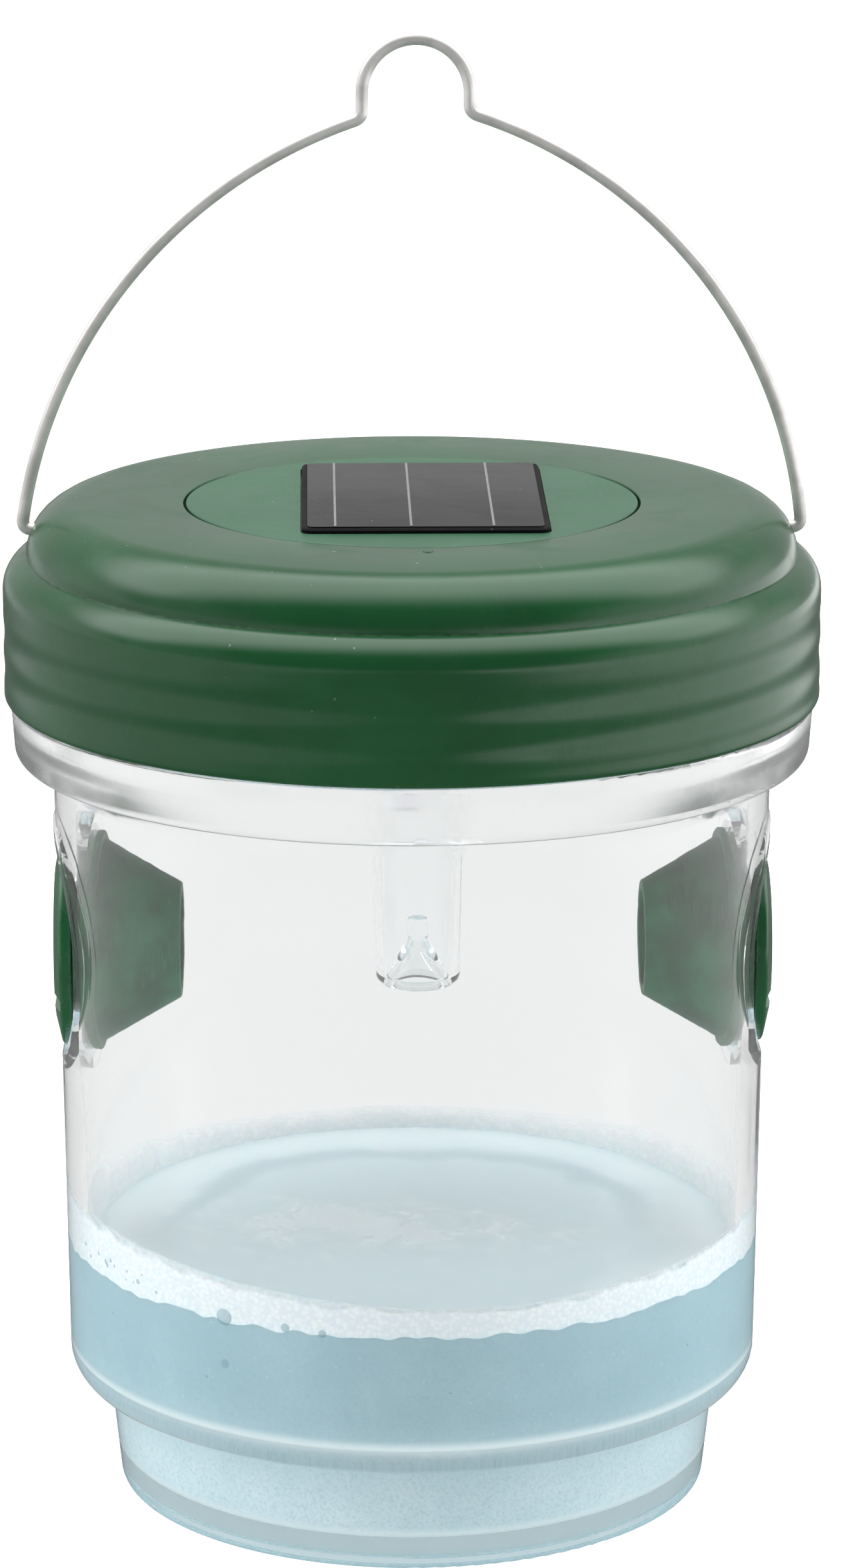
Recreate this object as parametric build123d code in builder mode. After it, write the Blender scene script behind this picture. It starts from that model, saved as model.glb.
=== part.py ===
from build123d import *
import os
from math import cos, radians, sin

# Solar wasp trap: a clear jar with two cone entries, a screw lid that carries a solar lamp,
# and a wire bail to hang it by. Millimetres. The origin is the centre of the foot, +Z is up,
# and the X axis runs through both entries and both ends of the bail.

# ---------------------------------------------------------------- driving dimensions

part_gap = 0.1            # between two pieces that are fixed to each other
moving_gap = 0.3          # between two pieces that move on each other

# jar
wall = 3.2
foot_radius = 45.95
foot_top_radius = 47.8
foot_top = 17.0
body_low_radius = 53.75
body_top_radius = 55.2
heel_rounding = 4.9
collar_bottom = 117.0
collar_top = 125.7
collar_low_radius = 60.95
collar_radius = 61.6
neck_radius = 57.6
neck_bore_radius = 54.6
rim_top = 142.8
floor_top = 4.0
foot_recess = 1.0
foot_ring_bore = 42.3     # inner edge of the ring that the jar stands on
floor_radius = 43.1       # inside the foot
belly_floor = 20.2        # inside, above the step
belly_ceiling = 114.0     # inside, where the wall starts to lean out to the neck
neck_bottom = 121.5
liquid_level = 40.0

# thread between the neck and the lid
pitch = 6.0
thread_root = 2.8
thread_tip = 1.2
jar_thread_radius = 59.7
jar_thread_start = 130.6
jar_thread_turns = 1.25
lid_thread_radius = 58.3
lid_thread_start = jar_thread_start - 2.15
lid_thread_turns = 1.0

# side entries
entry_z = 86.6
pocket_radius = 18.2
pocket_floor = 52.0       # distance of the pocket's flat floor from the jar's axis
seat_inside = 49.3        # distance of the flat inner face behind the pocket
port_radius = 14.0
pocket_rim = 1.8
pocket_rim_height = 0.35
pad_bottom = 60.0         # the pads follow the belly's taper between these heights
pad_top = 112.0
cone_tip = 35.7
cone_tip_radius = 8.9
cone_base_radius = 15.8
cone_flange_radius = 17.0
cone_neck_bore = 11.4
cap_radius = 16.3
cap_face = 55.2
entry_hole_radius = 8.0
lug_turn = 60.0           # the bayonet lugs rest this many degrees from their notches
groove_drop = 7.2
landing_depth = 1.1

# lid
skirt_radius = 62.5
skirt_bottom = 126.1
skirt_bore = 60.4
shoulder_corner = 146.7
shoulder_rounding = 5.2
tier_radius = 58.9
tier_bottom = 147.92
lid_top = 155.7
top_rounding = 7.7
tier_bore = 56.0
lid_underside = 153.2
seal_seat = 144.5
disc_seat_radius = 34.8
disc_seat = 153.7
ledge_underside = 151.2
ledge_bore = 33.0
ledge_radius = 38.0
gate_mark_y = -37.4
gate_mark_radius = 0.8

# solar disc and panel
disc_radius = 34.45
panel_x = 1.7
panel_y = 0.5
panel_width = 37.0
panel_length = 50.5
panel_underside = 154.9
panel_top = 156.4
panel_border = 0.85
cell_sheet = 0.2
cell_line_places = (-13.5, -2.2, 10.1)
cell_line_width = 0.35
disc_spigot_bore = 31.6
disc_spigot_drop = 2.2
disc_boss_radius = 2.9
screw_core = 1.05         # hole that a lid screw cuts its thread in
screw_circle = 29.0
lead_y = -19.5
lead_hole_radius = 0.8
lead_radius = 0.55

# lamp housing under the disc
housing_radius = 36.5
housing_bore = 34.3
housing_bottom = 128.0
housing_floor = 130.6
housing_rim = 150.1
pillar_radius = 3.3
pillar_top = 147.0
screw_head_seat = 143.0
screw_well_radius = 2.4
screw_clearance = 1.3
board_post_radius = 2.4

# light tube and lamp
tube_x = 0.9
tube_bottom = 79.4
tube_low_radius = 6.5
tube_top_radius = 7.85
tube_flange_radius = 9.2
tube_flange_top = 132.0
tube_wall = 1.2
lamp_x = -0.9
lamp_tip = 106.0
lamp_radius = 2.5
lamp_length = 8.7
leg_spacing = 2.54
leg_half_width = 0.25

# circuit board and switch
board_bottom = 136.0
board_top = 137.6
board_half_width = 20.0
board_front = -26.0
board_back = 8.5
board_screw_x = 16.0
board_screw_y = -20.0
switch_x = 10.0
switch_y = -16.0
switch_travel = 2.0

# battery compartment
cell_y = 16.25
cell_z = 135.6
cell_radius = 5.1
cell_length = 29.0
plus_button_radius = 1.9
plus_button_height = 0.9
contact_bottom = 131.2
contact_top = 140.4
contact_front = 11.6
contact_back = 20.9
contact_tab_front = 5.5
contact_thickness = 0.4
spring_radius = 3.2
spring_wire = 0.35
spring_turns = 4
bay_half_length = 18.0
bay_front = 10.6
bay_back = 21.9
bay_roof = 141.6
bay_wall = 1.2
cover_left = -21.0
cover_right = 25.5
cover_front = 9.0
cover_back = 23.6
cover_seat = 129.5
cover_screw_x = 21.8
cover_thickness = 1.25
cover_ribs = 5
cover_rib_pitch = 2.0

# bail
wire_radius = 0.975
pivot_z = 151.4
pivot_reach = 59.5        # how far out the wire turns up beside the lid
wire_end = 52.5
bend_radius = 1.8
loop_x = 0.6
loop_z = 217.9
loop_radius = 8.1
left_arm_middle = (-47.7, 183.3)
left_kink = (-7.5, 214.1)
right_arm_middle = (49.1, 183.3)
right_kink = (8.7, 214.9)
bail_hole_radius = wire_radius + 0.06
bail_mouth = 57.2         # where the hole starts to flare, so that the bend can swing

os.makedirs("parts", exist_ok=True)


# ---------------------------------------------------------------- shared shapes

def turned(corners, x=0, mode=Mode.ADD):
    """Turns a closed outline about a vertical axis at x. Corners are (radius, height, rounding)."""
    with BuildSketch(Plane.XZ) as outline:
        with BuildLine():
            points = [(x + radius, height) for radius, height, _ in corners]
            FilletPolyline(*points, radius=[rounding for _, _, rounding in corners], close=True)
        make_face()
    revolve(outline.sketch, axis=Axis((x, 0, 0), (0, 0, 1)), mode=mode)


def turned_level(corners, side, axis_z, mode=Mode.ADD):
    """Turns a closed outline about a level axis along X. Corners are (distance out, radius, rounding)."""
    with BuildSketch(Plane.XZ) as outline:
        with BuildLine():
            points = [(side * out, axis_z + radius) for out, radius, _ in corners]
            FilletPolyline(*points, radius=[rounding for _, _, rounding in corners], close=True)
        make_face()
    revolve(outline.sketch, axis=Axis((0, 0, axis_z), (1, 0, 0)), mode=mode)


def entry_plane(side, out):
    """Plane across an entry's axis, facing out of the jar."""
    return Plane(origin=(side * out, 0, entry_z), x_dir=(0, side, 0), z_dir=(side, 0, 0))


def round_bar(place, radius, height, mode=Mode.ADD):
    """Vertical round bar from a place (x, y, z) upwards."""
    with BuildSketch(Plane(place)) as section:
        Circle(radius)
    extrude(section.sketch, amount=height, mode=mode)


def block(low, high, rounding=0, mode=Mode.ADD):
    """Block between two opposite corners, with its upright edges rounded."""
    width, depth, height = (high[i] - low[i] for i in range(3))
    with BuildSketch(Plane(((low[0] + high[0]) / 2, (low[1] + high[1]) / 2, low[2]))) as section:
        if rounding:
            RectangleRounded(width, depth, rounding)
        else:
            Rectangle(width, depth)
    extrude(section.sketch, amount=height, mode=mode)


def thread_ridge(root_radius, crest_radius, start, turns):
    """Right-handed ridge that winds up from the +X side."""
    depth = crest_radius - root_radius
    overlap = 0.3 if depth > 0 else -0.3
    with BuildLine() as rail:
        Helix(pitch=pitch, height=pitch * turns, radius=root_radius, center=(0, 0, start))
    with BuildSketch(Plane.XZ) as section:
        with BuildLine():
            Polyline(
                (root_radius - overlap, start - thread_root / 2),
                (crest_radius, start - thread_tip / 2),
                (crest_radius, start + thread_tip / 2),
                (root_radius - overlap, start + thread_root / 2),
                close=True,
            )
        make_face()
    sweep(section.sketch, path=rail.line, is_frenet=True)


def save(sub_part, name):
    """Labels a finished piece and writes it to its own file."""
    sub_part.part.label = name
    export_step(sub_part.part, f"parts/{name}.step")


def screw(place, head_radius, head_height, shank_radius, shank_length):
    """Pan-head screw, head down, with a cross recess. The place is under the head."""
    x, y, z = place
    round_bar((x, y, z - head_height), head_radius, head_height)
    round_bar(place, shank_radius, shank_length)
    arm = head_radius * 0.6
    slot = head_radius * 0.15
    for half_x, half_y in ((arm, slot), (slot, arm)):
        low = (x - half_x, y - half_y, z - head_height)
        high = (x + half_x, y + half_y, z - head_height * 0.4)
        block(low, high, mode=Mode.SUBTRACT)


def around(circle_radius, angles):
    """Places on a circle about the lid's axis."""
    return [(circle_radius * cos(radians(a)), circle_radius * sin(radians(a))) for a in angles]


screw_places = around(screw_circle, (90, 210, 330))
board_screw_places = ((-board_screw_x, board_screw_y), (board_screw_x, board_screw_y))
lead_places = {"black": panel_x - 2.5, "red": panel_x + 2.5}

# ---------------------------------------------------------------- jar and what is in it

jar_inside = [
    (0, rim_top + 5, 0),
    (0, floor_top, 0),
    (floor_radius, floor_top, 3.0),
    (foot_top_radius - wall, belly_floor, 2.5),
    (body_low_radius - wall, belly_floor, 3.5),
    (body_top_radius - wall, belly_ceiling, 6.0),
    (neck_bore_radius, neck_bottom, 4.0),
    (neck_bore_radius, rim_top + 5, 0),
]
jar_outside = [
    (0, foot_recess, 0),
    (foot_ring_bore - 0.8, foot_recess, 0.8),
    (foot_ring_bore, 0, 0.5),
    (foot_radius, 0, 1.2),
    (foot_top_radius, foot_top, 0.5),
    (body_low_radius, foot_top, heel_rounding),
    (body_top_radius, collar_bottom, 0.6),
    (collar_low_radius, collar_bottom, 1.7),
    (collar_radius, collar_top, 0.5),
    (neck_radius, collar_top, 0.5),
    (neck_radius, rim_top, 0.8),
    (0, rim_top, 0),
]
pad_outside = [
    (0, pad_bottom, 0),
    (body_low_radius + pocket_rim_height, pad_bottom, 0),
    (body_top_radius + pocket_rim_height, pad_top, 0),
    (0, pad_top, 0),
]

with BuildPart() as pads:
    turned(pad_outside)
    with BuildSketch(Plane.YZ) as pad_section:
        with Locations((0, entry_z)):
            Circle(pocket_radius + pocket_rim)
    extrude(pad_section.sketch, amount=collar_radius, both=True, mode=Mode.INTERSECT)
    with BuildSketch(Plane.YZ) as between_pads:
        with Locations((0, entry_z)):
            Circle(pocket_radius + pocket_rim + 1)
    extrude(between_pads.sketch, amount=seat_inside, both=True, mode=Mode.SUBTRACT)

with BuildPart() as jar:
    turned(jar_outside)
    turned(jar_inside, mode=Mode.SUBTRACT)
    add(pads.part)
    for side in (-1, 1):
        with BuildSketch(entry_plane(side, pocket_floor)) as pocket:
            Circle(pocket_radius)
        extrude(pocket.sketch, amount=10, mode=Mode.SUBTRACT)
        with BuildSketch(entry_plane(side, seat_inside - 2)) as port:
            Circle(port_radius)
        extrude(port.sketch, amount=10, mode=Mode.SUBTRACT)
        with BuildSketch(entry_plane(side, seat_inside - 10)) as flange_seat:
            Circle(cone_flange_radius + moving_gap)
        extrude(flange_seat.sketch, amount=10, mode=Mode.SUBTRACT)
    thread_ridge(neck_radius, jar_thread_radius, jar_thread_start, jar_thread_turns)
save(jar, "jar")

belly_slope = (body_top_radius - body_low_radius) / (belly_ceiling - belly_floor)
level_radius = body_low_radius - wall + belly_slope * (liquid_level - belly_floor)

with BuildPart() as bait_liquid:
    turned([
        (0, floor_top + part_gap, 0),
        (floor_radius - part_gap, floor_top + part_gap, 3.0),
        (foot_top_radius - wall - part_gap, belly_floor + part_gap, 2.6),
        (body_low_radius - wall - part_gap, belly_floor + part_gap, 3.4),
        (level_radius - part_gap, liquid_level, 0),
        (0, liquid_level, 0),
    ])
save(bait_liquid, "bait_liquid")

# ---------------------------------------------------------------- side entries

cone_wall = 1.72          # measured across the axis
neck_end = 51.8
flange_out = seat_inside - part_gap
flange_in = flange_out - 1.3
neck_in = 47.6
lug_in = 46.0
lug_out = 47.3
lug_radius = 12.5
spigot_radius = 11.1
spigot_bore = 9.6
lug_angle = 16.0
notch_angle = 24.0
cap_back = pocket_floor + moving_gap
landing_z = entry_z - groove_drop
cone_slope = (cone_base_radius - cone_tip_radius) / (flange_in - cone_tip)


def ring_sectors(inner, outer, middle_angles, spread):
    """Two opposite pieces of a ring, for bayonet lugs and notches."""
    for middle in middle_angles:
        start = radians(middle - spread / 2)
        stop = radians(middle + spread / 2)
        centre = radians(middle)
        with BuildLine() as sector:
            ThreePointArc(
                (outer * cos(start), outer * sin(start)),
                (outer * cos(centre), outer * sin(centre)),
                (outer * cos(stop), outer * sin(stop)),
            )
            Line((outer * cos(stop), outer * sin(stop)), (inner * cos(stop), inner * sin(stop)))
            ThreePointArc(
                (inner * cos(stop), inner * sin(stop)),
                (inner * cos(centre), inner * sin(centre)),
                (inner * cos(start), inner * sin(start)),
            )
            Line((inner * cos(start), inner * sin(start)), (outer * cos(start), outer * sin(start)))
        make_face(sector.edges())


for side, hand in ((-1, "left"), (1, "right")):
    with BuildPart() as entry_cone:
        turned_level([
            (cone_tip, cone_tip_radius - cone_wall, 0.3),
            (cone_tip, cone_tip_radius, 0.5),
            (flange_in, cone_base_radius, 0),
            (flange_in, cone_flange_radius, 0.3),
            (flange_out, cone_flange_radius, 0.3),
            (flange_out, port_radius - 0.3, 0),
            (neck_end, port_radius - 0.3, 0.3),
            (neck_end, cone_neck_bore, 0.3),
            (neck_in, cone_neck_bore, 0),
            (neck_in, cone_tip_radius - cone_wall + cone_slope * (neck_in - cone_tip), 0),
        ], side, entry_z)
        with BuildSketch(entry_plane(side, neck_in - 1)) as notches:
            ring_sectors(cone_neck_bore - 1, lug_radius + 0.4, (lug_turn, lug_turn + 180), notch_angle)
        extrude(notches.sketch, amount=8, mode=Mode.SUBTRACT)
    save(entry_cone, f"entry_cone_{hand}")

    with BuildPart() as entry_cap:
        turned_level([
            (cap_back, entry_hole_radius, 0),
            (cap_back, spigot_bore, 0),
            (lug_in, spigot_bore, 0.3),
            (lug_in, spigot_radius, 0),
            (cap_back, spigot_radius, 0),
            (cap_back, cap_radius, 0.4),
            (cap_face - landing_depth, cap_radius, 0.6),
            (cap_face, cap_radius - 4.5, 5.0),
            (cap_face, entry_hole_radius, 0.6),
        ], side, entry_z)
        with BuildSketch(entry_plane(side, lug_in)) as lugs:
            ring_sectors(spigot_radius - 0.5, lug_radius, (0, 180), lug_angle)
        extrude(lugs.sketch, amount=lug_out - lug_in)
        with BuildSketch(Plane.XZ) as landing_groove:
            with BuildLine():
                Polyline(
                    (side * (cap_face + 1), landing_z + 1.4),
                    (side * (cap_face - landing_depth), landing_z + 1.4),
                    (side * (cap_face - landing_depth), landing_z - 0.4),
                    (side * (cap_face + 1), landing_z - 2.0),
                    close=True,
                )
            make_face()
        extrude(landing_groove.sketch, amount=cap_radius + 1, both=True, mode=Mode.SUBTRACT)
    save(entry_cap, f"entry_cap_{hand}")

# ---------------------------------------------------------------- lid and seal

with BuildPart() as lid_seal:
    turned([
        (54.8, rim_top + part_gap, 0.3),
        (59.2, rim_top + part_gap, 0.3),
        (59.2, seal_seat - part_gap, 0.3),
        (54.8, seal_seat - part_gap, 0.3),
    ])
save(lid_seal, "lid_seal")

with BuildPart() as lid:
    turned([
        (skirt_radius, skirt_bottom, 0.7),
        (skirt_radius, shoulder_corner, shoulder_rounding),
        (tier_radius, tier_bottom, 0),
        (tier_radius, lid_top, top_rounding),
        (disc_seat_radius, lid_top, 0.3),
        (disc_seat_radius, disc_seat, 0),
        (ledge_bore, disc_seat, 0),
        (ledge_bore, ledge_underside, 0),
        (ledge_radius, ledge_underside, 0.4),
        (ledge_radius + 0.8, lid_underside, 0.8),
        (tier_bore, lid_underside, 5.2),
        (tier_bore, seal_seat, 0.5),
        (skirt_bore, seal_seat, 2.0),
        (skirt_bore, skirt_bottom, 0.5),
    ])
    thread_ridge(skirt_bore, lid_thread_radius, lid_thread_start, lid_thread_turns)
    with BuildSketch(Plane.YZ) as bail_holes:
        with Locations((0, pivot_z)):
            Circle(bail_hole_radius)
    extrude(bail_holes.sketch, amount=skirt_radius, both=True, mode=Mode.SUBTRACT)
    for side in (-1, 1):
        turned_level([
            (bail_mouth, 0, 0),
            (bail_mouth, bail_hole_radius, 0),
            (bail_mouth + 3.0, bail_hole_radius + 2.4, 0),
            (bail_mouth + 3.0, 0, 0),
        ], side, pivot_z, mode=Mode.SUBTRACT)
    round_bar((panel_x, gate_mark_y, lid_top - 0.2), gate_mark_radius, 0.35)
save(lid, "lid")

# ---------------------------------------------------------------- disc and panel

with BuildPart() as solar_disc:
    turned([
        (0, disc_seat, 0),
        (disc_radius, disc_seat, 0),
        (disc_radius, lid_top, 0.25),
        (0, lid_top, 0),
    ])
    turned([
        (disc_spigot_bore, disc_seat - disc_spigot_drop, 0.3),
        (ledge_bore - 0.3, disc_seat - disc_spigot_drop, 0.3),
        (ledge_bore - 0.3, disc_seat + 0.5, 0),
        (disc_spigot_bore, disc_seat + 0.5, 0),
    ])
    for x, y in screw_places:
        round_bar((x, y, pillar_top + part_gap), disc_boss_radius, disc_seat - pillar_top)
        round_bar((x, y, pillar_top), screw_core, 5.2, mode=Mode.SUBTRACT)
    half_width = panel_width / 2 + 0.2
    half_length = panel_length / 2 + 0.2
    block(
        (panel_x - half_width, panel_y - half_length, panel_underside),
        (panel_x + half_width, panel_y + half_length, lid_top + 1),
        rounding=1.9,
        mode=Mode.SUBTRACT,
    )
    for lead_x in lead_places.values():
        round_bar((lead_x, lead_y, disc_seat - 1), lead_hole_radius, 3, mode=Mode.SUBTRACT)
save(solar_disc, "solar_disc")


def panel_sheet(border, bottom, top, rounding):
    """Flat sheet on the panel's centre, inset all round by a border."""
    half_x = panel_width / 2 - border
    half_y = panel_length / 2 - border
    low = (panel_x - half_x, panel_y - half_y, bottom)
    high = (panel_x + half_x, panel_y + half_y, top)
    block(low, high, rounding=rounding)


with BuildPart() as solar_panel:
    panel_sheet(0, panel_underside, panel_top, 1.7)
    chamfer(solar_panel.faces().sort_by(Axis.Z)[-1].edges(), 0.25)
save(solar_panel, "solar_panel")

with BuildPart() as solar_cells:
    panel_sheet(panel_border, panel_top, panel_top + cell_sheet, 1.0)
save(solar_cells, "solar_cells")

with BuildPart() as cell_lines:
    line_half_length = panel_length / 2 - panel_border - 0.2
    line_bottom = panel_top + cell_sheet
    for place in cell_line_places:
        middle = panel_x + place
        low = (middle - cell_line_width / 2, panel_y - line_half_length, line_bottom)
        high = (middle + cell_line_width / 2, panel_y + line_half_length, line_bottom + 0.06)
        block(low, high)
save(cell_lines, "cell_lines")

# ---------------------------------------------------------------- lamp housing

with BuildPart() as module_housing:
    turned([
        (0, housing_bottom, 0),
        (housing_radius, housing_bottom, 1.8),
        (housing_radius, housing_rim, 0.3),
        (housing_bore, housing_rim, 0.3),
        (housing_bore, housing_floor, 1.2),
        (0, housing_floor, 0),
    ])
    for x, y in screw_places:
        round_bar((x, y, housing_floor - 0.5), pillar_radius, pillar_top - housing_floor + 0.5)
    for x, y in board_screw_places:
        round_bar((x, y, housing_floor - 0.5), board_post_radius, board_bottom - housing_floor + 0.5)
    block(
        (-bay_half_length - bay_wall, bay_front - bay_wall, housing_floor - 0.5),
        (bay_half_length + bay_wall, bay_back + bay_wall, bay_roof + bay_wall),
    )
    round_bar((cover_screw_x, cell_y, housing_floor - 0.5), 2.5, 5.5)
    block(
        (-bay_half_length, bay_front, housing_floor),
        (bay_half_length, bay_back, bay_roof),
        mode=Mode.SUBTRACT,
    )
    block(
        (-bay_half_length + 0.2, bay_front + 0.1, housing_bottom - 1),
        (bay_half_length - 0.2, bay_back - 0.1, housing_floor + 0.5),
        mode=Mode.SUBTRACT,
    )
    block(
        (cover_left, cover_front, housing_bottom - 1),
        (cover_right, cover_back, cover_seat),
        rounding=3.0,
        mode=Mode.SUBTRACT,
    )
    for side in (-1, 1):
        tab_slot = sorted((side * 14.8, side * bay_half_length))
        block(
            (tab_slot[0], bay_front - bay_wall - 1, board_top - 0.4),
            (tab_slot[1], bay_front + 0.5, board_top + 0.8),
            mode=Mode.SUBTRACT,
        )
    for x, y in screw_places:
        well_bottom = (x, y, housing_bottom - 1)
        round_bar(well_bottom, screw_well_radius, screw_head_seat - housing_bottom + 1, mode=Mode.SUBTRACT)
        round_bar(well_bottom, screw_clearance, pillar_top - housing_bottom + 2, mode=Mode.SUBTRACT)
    for x, y in board_screw_places:
        round_bar((x, y, housing_floor + 0.8), 0.85, 8, mode=Mode.SUBTRACT)
    round_bar((cover_screw_x, cell_y, housing_bottom), 0.97, 6.8, mode=Mode.SUBTRACT)
    round_bar((tube_x, 0, housing_bottom - 1), 8.0, 5, mode=Mode.SUBTRACT)
    block(
        (switch_x - 2.7, switch_y - 1.3, housing_bottom - 1),
        (switch_x + 2.7, switch_y + 1.3, housing_floor + 1),
        mode=Mode.SUBTRACT,
    )
save(module_housing, "module_housing")

with BuildPart() as housing_gasket:
    turned([
        (34.6, housing_rim, 0),
        (36.2, housing_rim, 0),
        (36.2, ledge_underside, 0),
        (34.6, ledge_underside, 0),
    ])
save(housing_gasket, "housing_gasket")

with BuildPart() as housing_screws:
    for x, y in screw_places:
        screw((x, y, screw_head_seat), 2.0, 1.5, 1.0, 8.6)
save(housing_screws, "housing_screws")

# ---------------------------------------------------------------- light tube and lamp

with BuildPart() as light_tube:
    turned([
        (0, 85.0, 0),
        (4.6, tube_bottom, 0.3),
        (tube_low_radius, tube_bottom, 1.8),
        (tube_top_radius, housing_floor, 0),
        (tube_flange_radius, housing_floor, 0.2),
        (tube_flange_radius, tube_flange_top, 0.2),
        (tube_top_radius - tube_wall, tube_flange_top, 0.2),
        (tube_low_radius - tube_wall, tube_bottom + 1.5, 0.2),
        (4.7, tube_bottom + 1.5, 0.2),
        (1.6, 86.7, 0.3),
        (1.6, 90.0, 0.3),
        (0, 90.0, 0),
    ], x=tube_x)
save(light_tube, "light_tube")

with BuildPart() as uv_led:
    lamp_base = lamp_tip + lamp_length
    turned([
        (0, lamp_tip + lamp_radius, 0),
        (lamp_radius, lamp_tip + lamp_radius, 0),
        (lamp_radius, lamp_base - 1.0, 0),
        (lamp_radius + 0.4, lamp_base - 1.0, 0.1),
        (lamp_radius + 0.4, lamp_base, 0.1),
        (0, lamp_base, 0),
    ], x=lamp_x)
    with Locations((lamp_x, 0, lamp_tip + lamp_radius)):
        Sphere(lamp_radius)
save(uv_led, "uv_led")

with BuildPart() as led_legs:
    for leg_x in (lamp_x - leg_spacing / 2, lamp_x + leg_spacing / 2):
        block(
            (leg_x - leg_half_width, -leg_half_width, lamp_base),
            (leg_x + leg_half_width, leg_half_width, board_top + 1.0),
        )
save(led_legs, "led_legs")

# ---------------------------------------------------------------- circuit board

with BuildPart() as circuit_board:
    block(
        (-board_half_width, board_front, board_bottom),
        (board_half_width, board_back, board_top),
        rounding=2.0,
    )
    for x, y in board_screw_places:
        round_bar((x, y, board_bottom - 1), 1.1, 4, mode=Mode.SUBTRACT)
    for leg_x in (lamp_x - leg_spacing / 2, lamp_x + leg_spacing / 2):
        round_bar((leg_x, 0, board_bottom - 1), 0.5, 4, mode=Mode.SUBTRACT)
save(circuit_board, "circuit_board")

with BuildPart() as board_screws:
    for x, y in board_screw_places:
        round_bar((x, y, board_top), 1.7, 1.2)
        round_bar((x, y, board_bottom - 3.8), 0.8, board_top - board_bottom + 3.8)
        slot_low = (x - 1.1, y - 0.25, board_top + 0.6)
        slot_high = (x + 1.1, y + 0.25, board_top + 2)
        block(slot_low, slot_high, mode=Mode.SUBTRACT)
save(board_screws, "board_screws")

with BuildPart() as driver_chip:
    block((-8.3, -13.3, board_top + 0.3), (-3.7, -10.7, board_top + 1.8))
    for leg in range(3):
        leg_middle = -7.5 + 1.5 * leg
        block((leg_middle - 0.2, -14.6, board_top), (leg_middle + 0.2, -13.0, board_top + 0.6))
save(driver_chip, "driver_chip")

with BuildPart() as inductor:
    round_bar((9.0, -6.0, board_top), 3.4, 0.8)
    round_bar((9.0, -6.0, board_top + 0.7), 2.6, 3.2)
    round_bar((9.0, -6.0, board_top + 3.8), 3.4, 0.8)
save(inductor, "inductor")

with BuildPart() as capacitor:
    round_bar((-13.0, -4.0, board_top), 2.5, 5.5)
    fillet(capacitor.edges().filter_by(GeomType.CIRCLE), 0.4)
save(capacitor, "capacitor")

with BuildPart() as switch_body:
    switch_bottom = board_bottom - 4.8
    block(
        (switch_x - 4.4, switch_y - 2.2, switch_bottom),
        (switch_x + 4.4, switch_y + 2.2, board_bottom),
    )
    block(
        (switch_x - 3.4, switch_y - 1.5, switch_bottom + 0.6),
        (switch_x + 3.4, switch_y + 1.5, switch_bottom + 3.6),
        mode=Mode.SUBTRACT,
    )
    block(
        (switch_x - 2.4, switch_y - 1.2, switch_bottom - 1),
        (switch_x + 2.4, switch_y + 1.2, switch_bottom + 1),
        mode=Mode.SUBTRACT,
    )
save(switch_body, "switch_body")

with BuildPart() as switch_slider:
    off_x = switch_x - switch_travel / 2
    block(
        (off_x - 2.0, switch_y - 1.1, switch_bottom + 0.9),
        (off_x + 2.0, switch_y + 1.1, switch_bottom + 3.2),
    )
    block(
        (off_x - 1.0, switch_y - 0.85, housing_bottom - 1.2),
        (off_x + 1.0, switch_y + 0.85, switch_bottom + 1),
    )
save(switch_slider, "switch_slider")


def lead(lead_x):
    """Insulated wire from the panel's back down to the board, with two easy bends."""
    landing_x = panel_x + (lead_x - panel_x) * 1.6
    points = [
        (lead_x, lead_y, panel_underside),
        (lead_x, lead_y, pillar_top + 1.5),
        (landing_x, lead_y - 3.5, pillar_top - 3.5),
        (landing_x, lead_y - 3.5, board_top),
    ]
    with BuildLine() as route:
        FilletPolyline(*points, radius=3.0)
    with BuildSketch(Plane(points[0])) as section:
        Circle(lead_radius)
    sweep(section.sketch, path=route.line)


for colour, lead_x in lead_places.items():
    with BuildPart() as panel_lead:
        lead(lead_x)
    save(panel_lead, f"panel_lead_{colour}")

# ---------------------------------------------------------------- battery compartment

plus_face = bay_half_length - 0.8
cell_end = plus_face - cell_length
button_base = plus_face - plus_button_height

with BuildPart() as battery:
    with BuildSketch(Plane.XZ.offset(-cell_y)) as cell_outline:
        with BuildLine():
            FilletPolyline(
                (cell_end, cell_z),
                (cell_end, cell_z + cell_radius),
                (button_base, cell_z + cell_radius),
                (button_base, cell_z + plus_button_radius),
                (plus_face, cell_z + plus_button_radius),
                (plus_face, cell_z),
                radius=[0, 0.4, 0.4, 0, 0.2, 0],
                close=True,
            )
        make_face()
    revolve(cell_outline.sketch, axis=Axis((0, cell_y, cell_z), (1, 0, 0)))
save(battery, "battery")

for side, name in ((-1, "contact_minus"), (1, "contact_plus")):
    with BuildPart() as contact:
        plate = sorted((side * plus_face, side * (plus_face + contact_thickness)))
        tab = sorted((side * (plus_face - 2.1), side * (plus_face + contact_thickness)))
        tab_top = board_top + contact_thickness
        block((plate[0], contact_front, contact_bottom), (plate[1], contact_back, contact_top))
        block((tab[0], contact_tab_front, board_top), (tab[1], contact_front, tab_top))
        block((plate[0], contact_front - 0.4, board_top), (plate[1], contact_front + 1.0, tab_top))
    save(contact, name)

with BuildPart() as battery_spring:
    spring_length = cell_end + plus_face - part_gap
    with BuildLine() as coil:
        Helix(
            pitch=spring_length / spring_turns,
            height=spring_length - 0.9,
            radius=spring_radius,
            center=(-plus_face + 0.45, cell_y, cell_z),
            direction=(1, 0, 0),
        )
    start = coil.line @ 0
    heading = coil.line % 0
    with BuildSketch(Plane(origin=start, z_dir=heading)) as spring_section:
        Circle(spring_wire)
    sweep(spring_section.sketch, path=coil.line, is_frenet=True)
save(battery_spring, "battery_spring")

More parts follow.
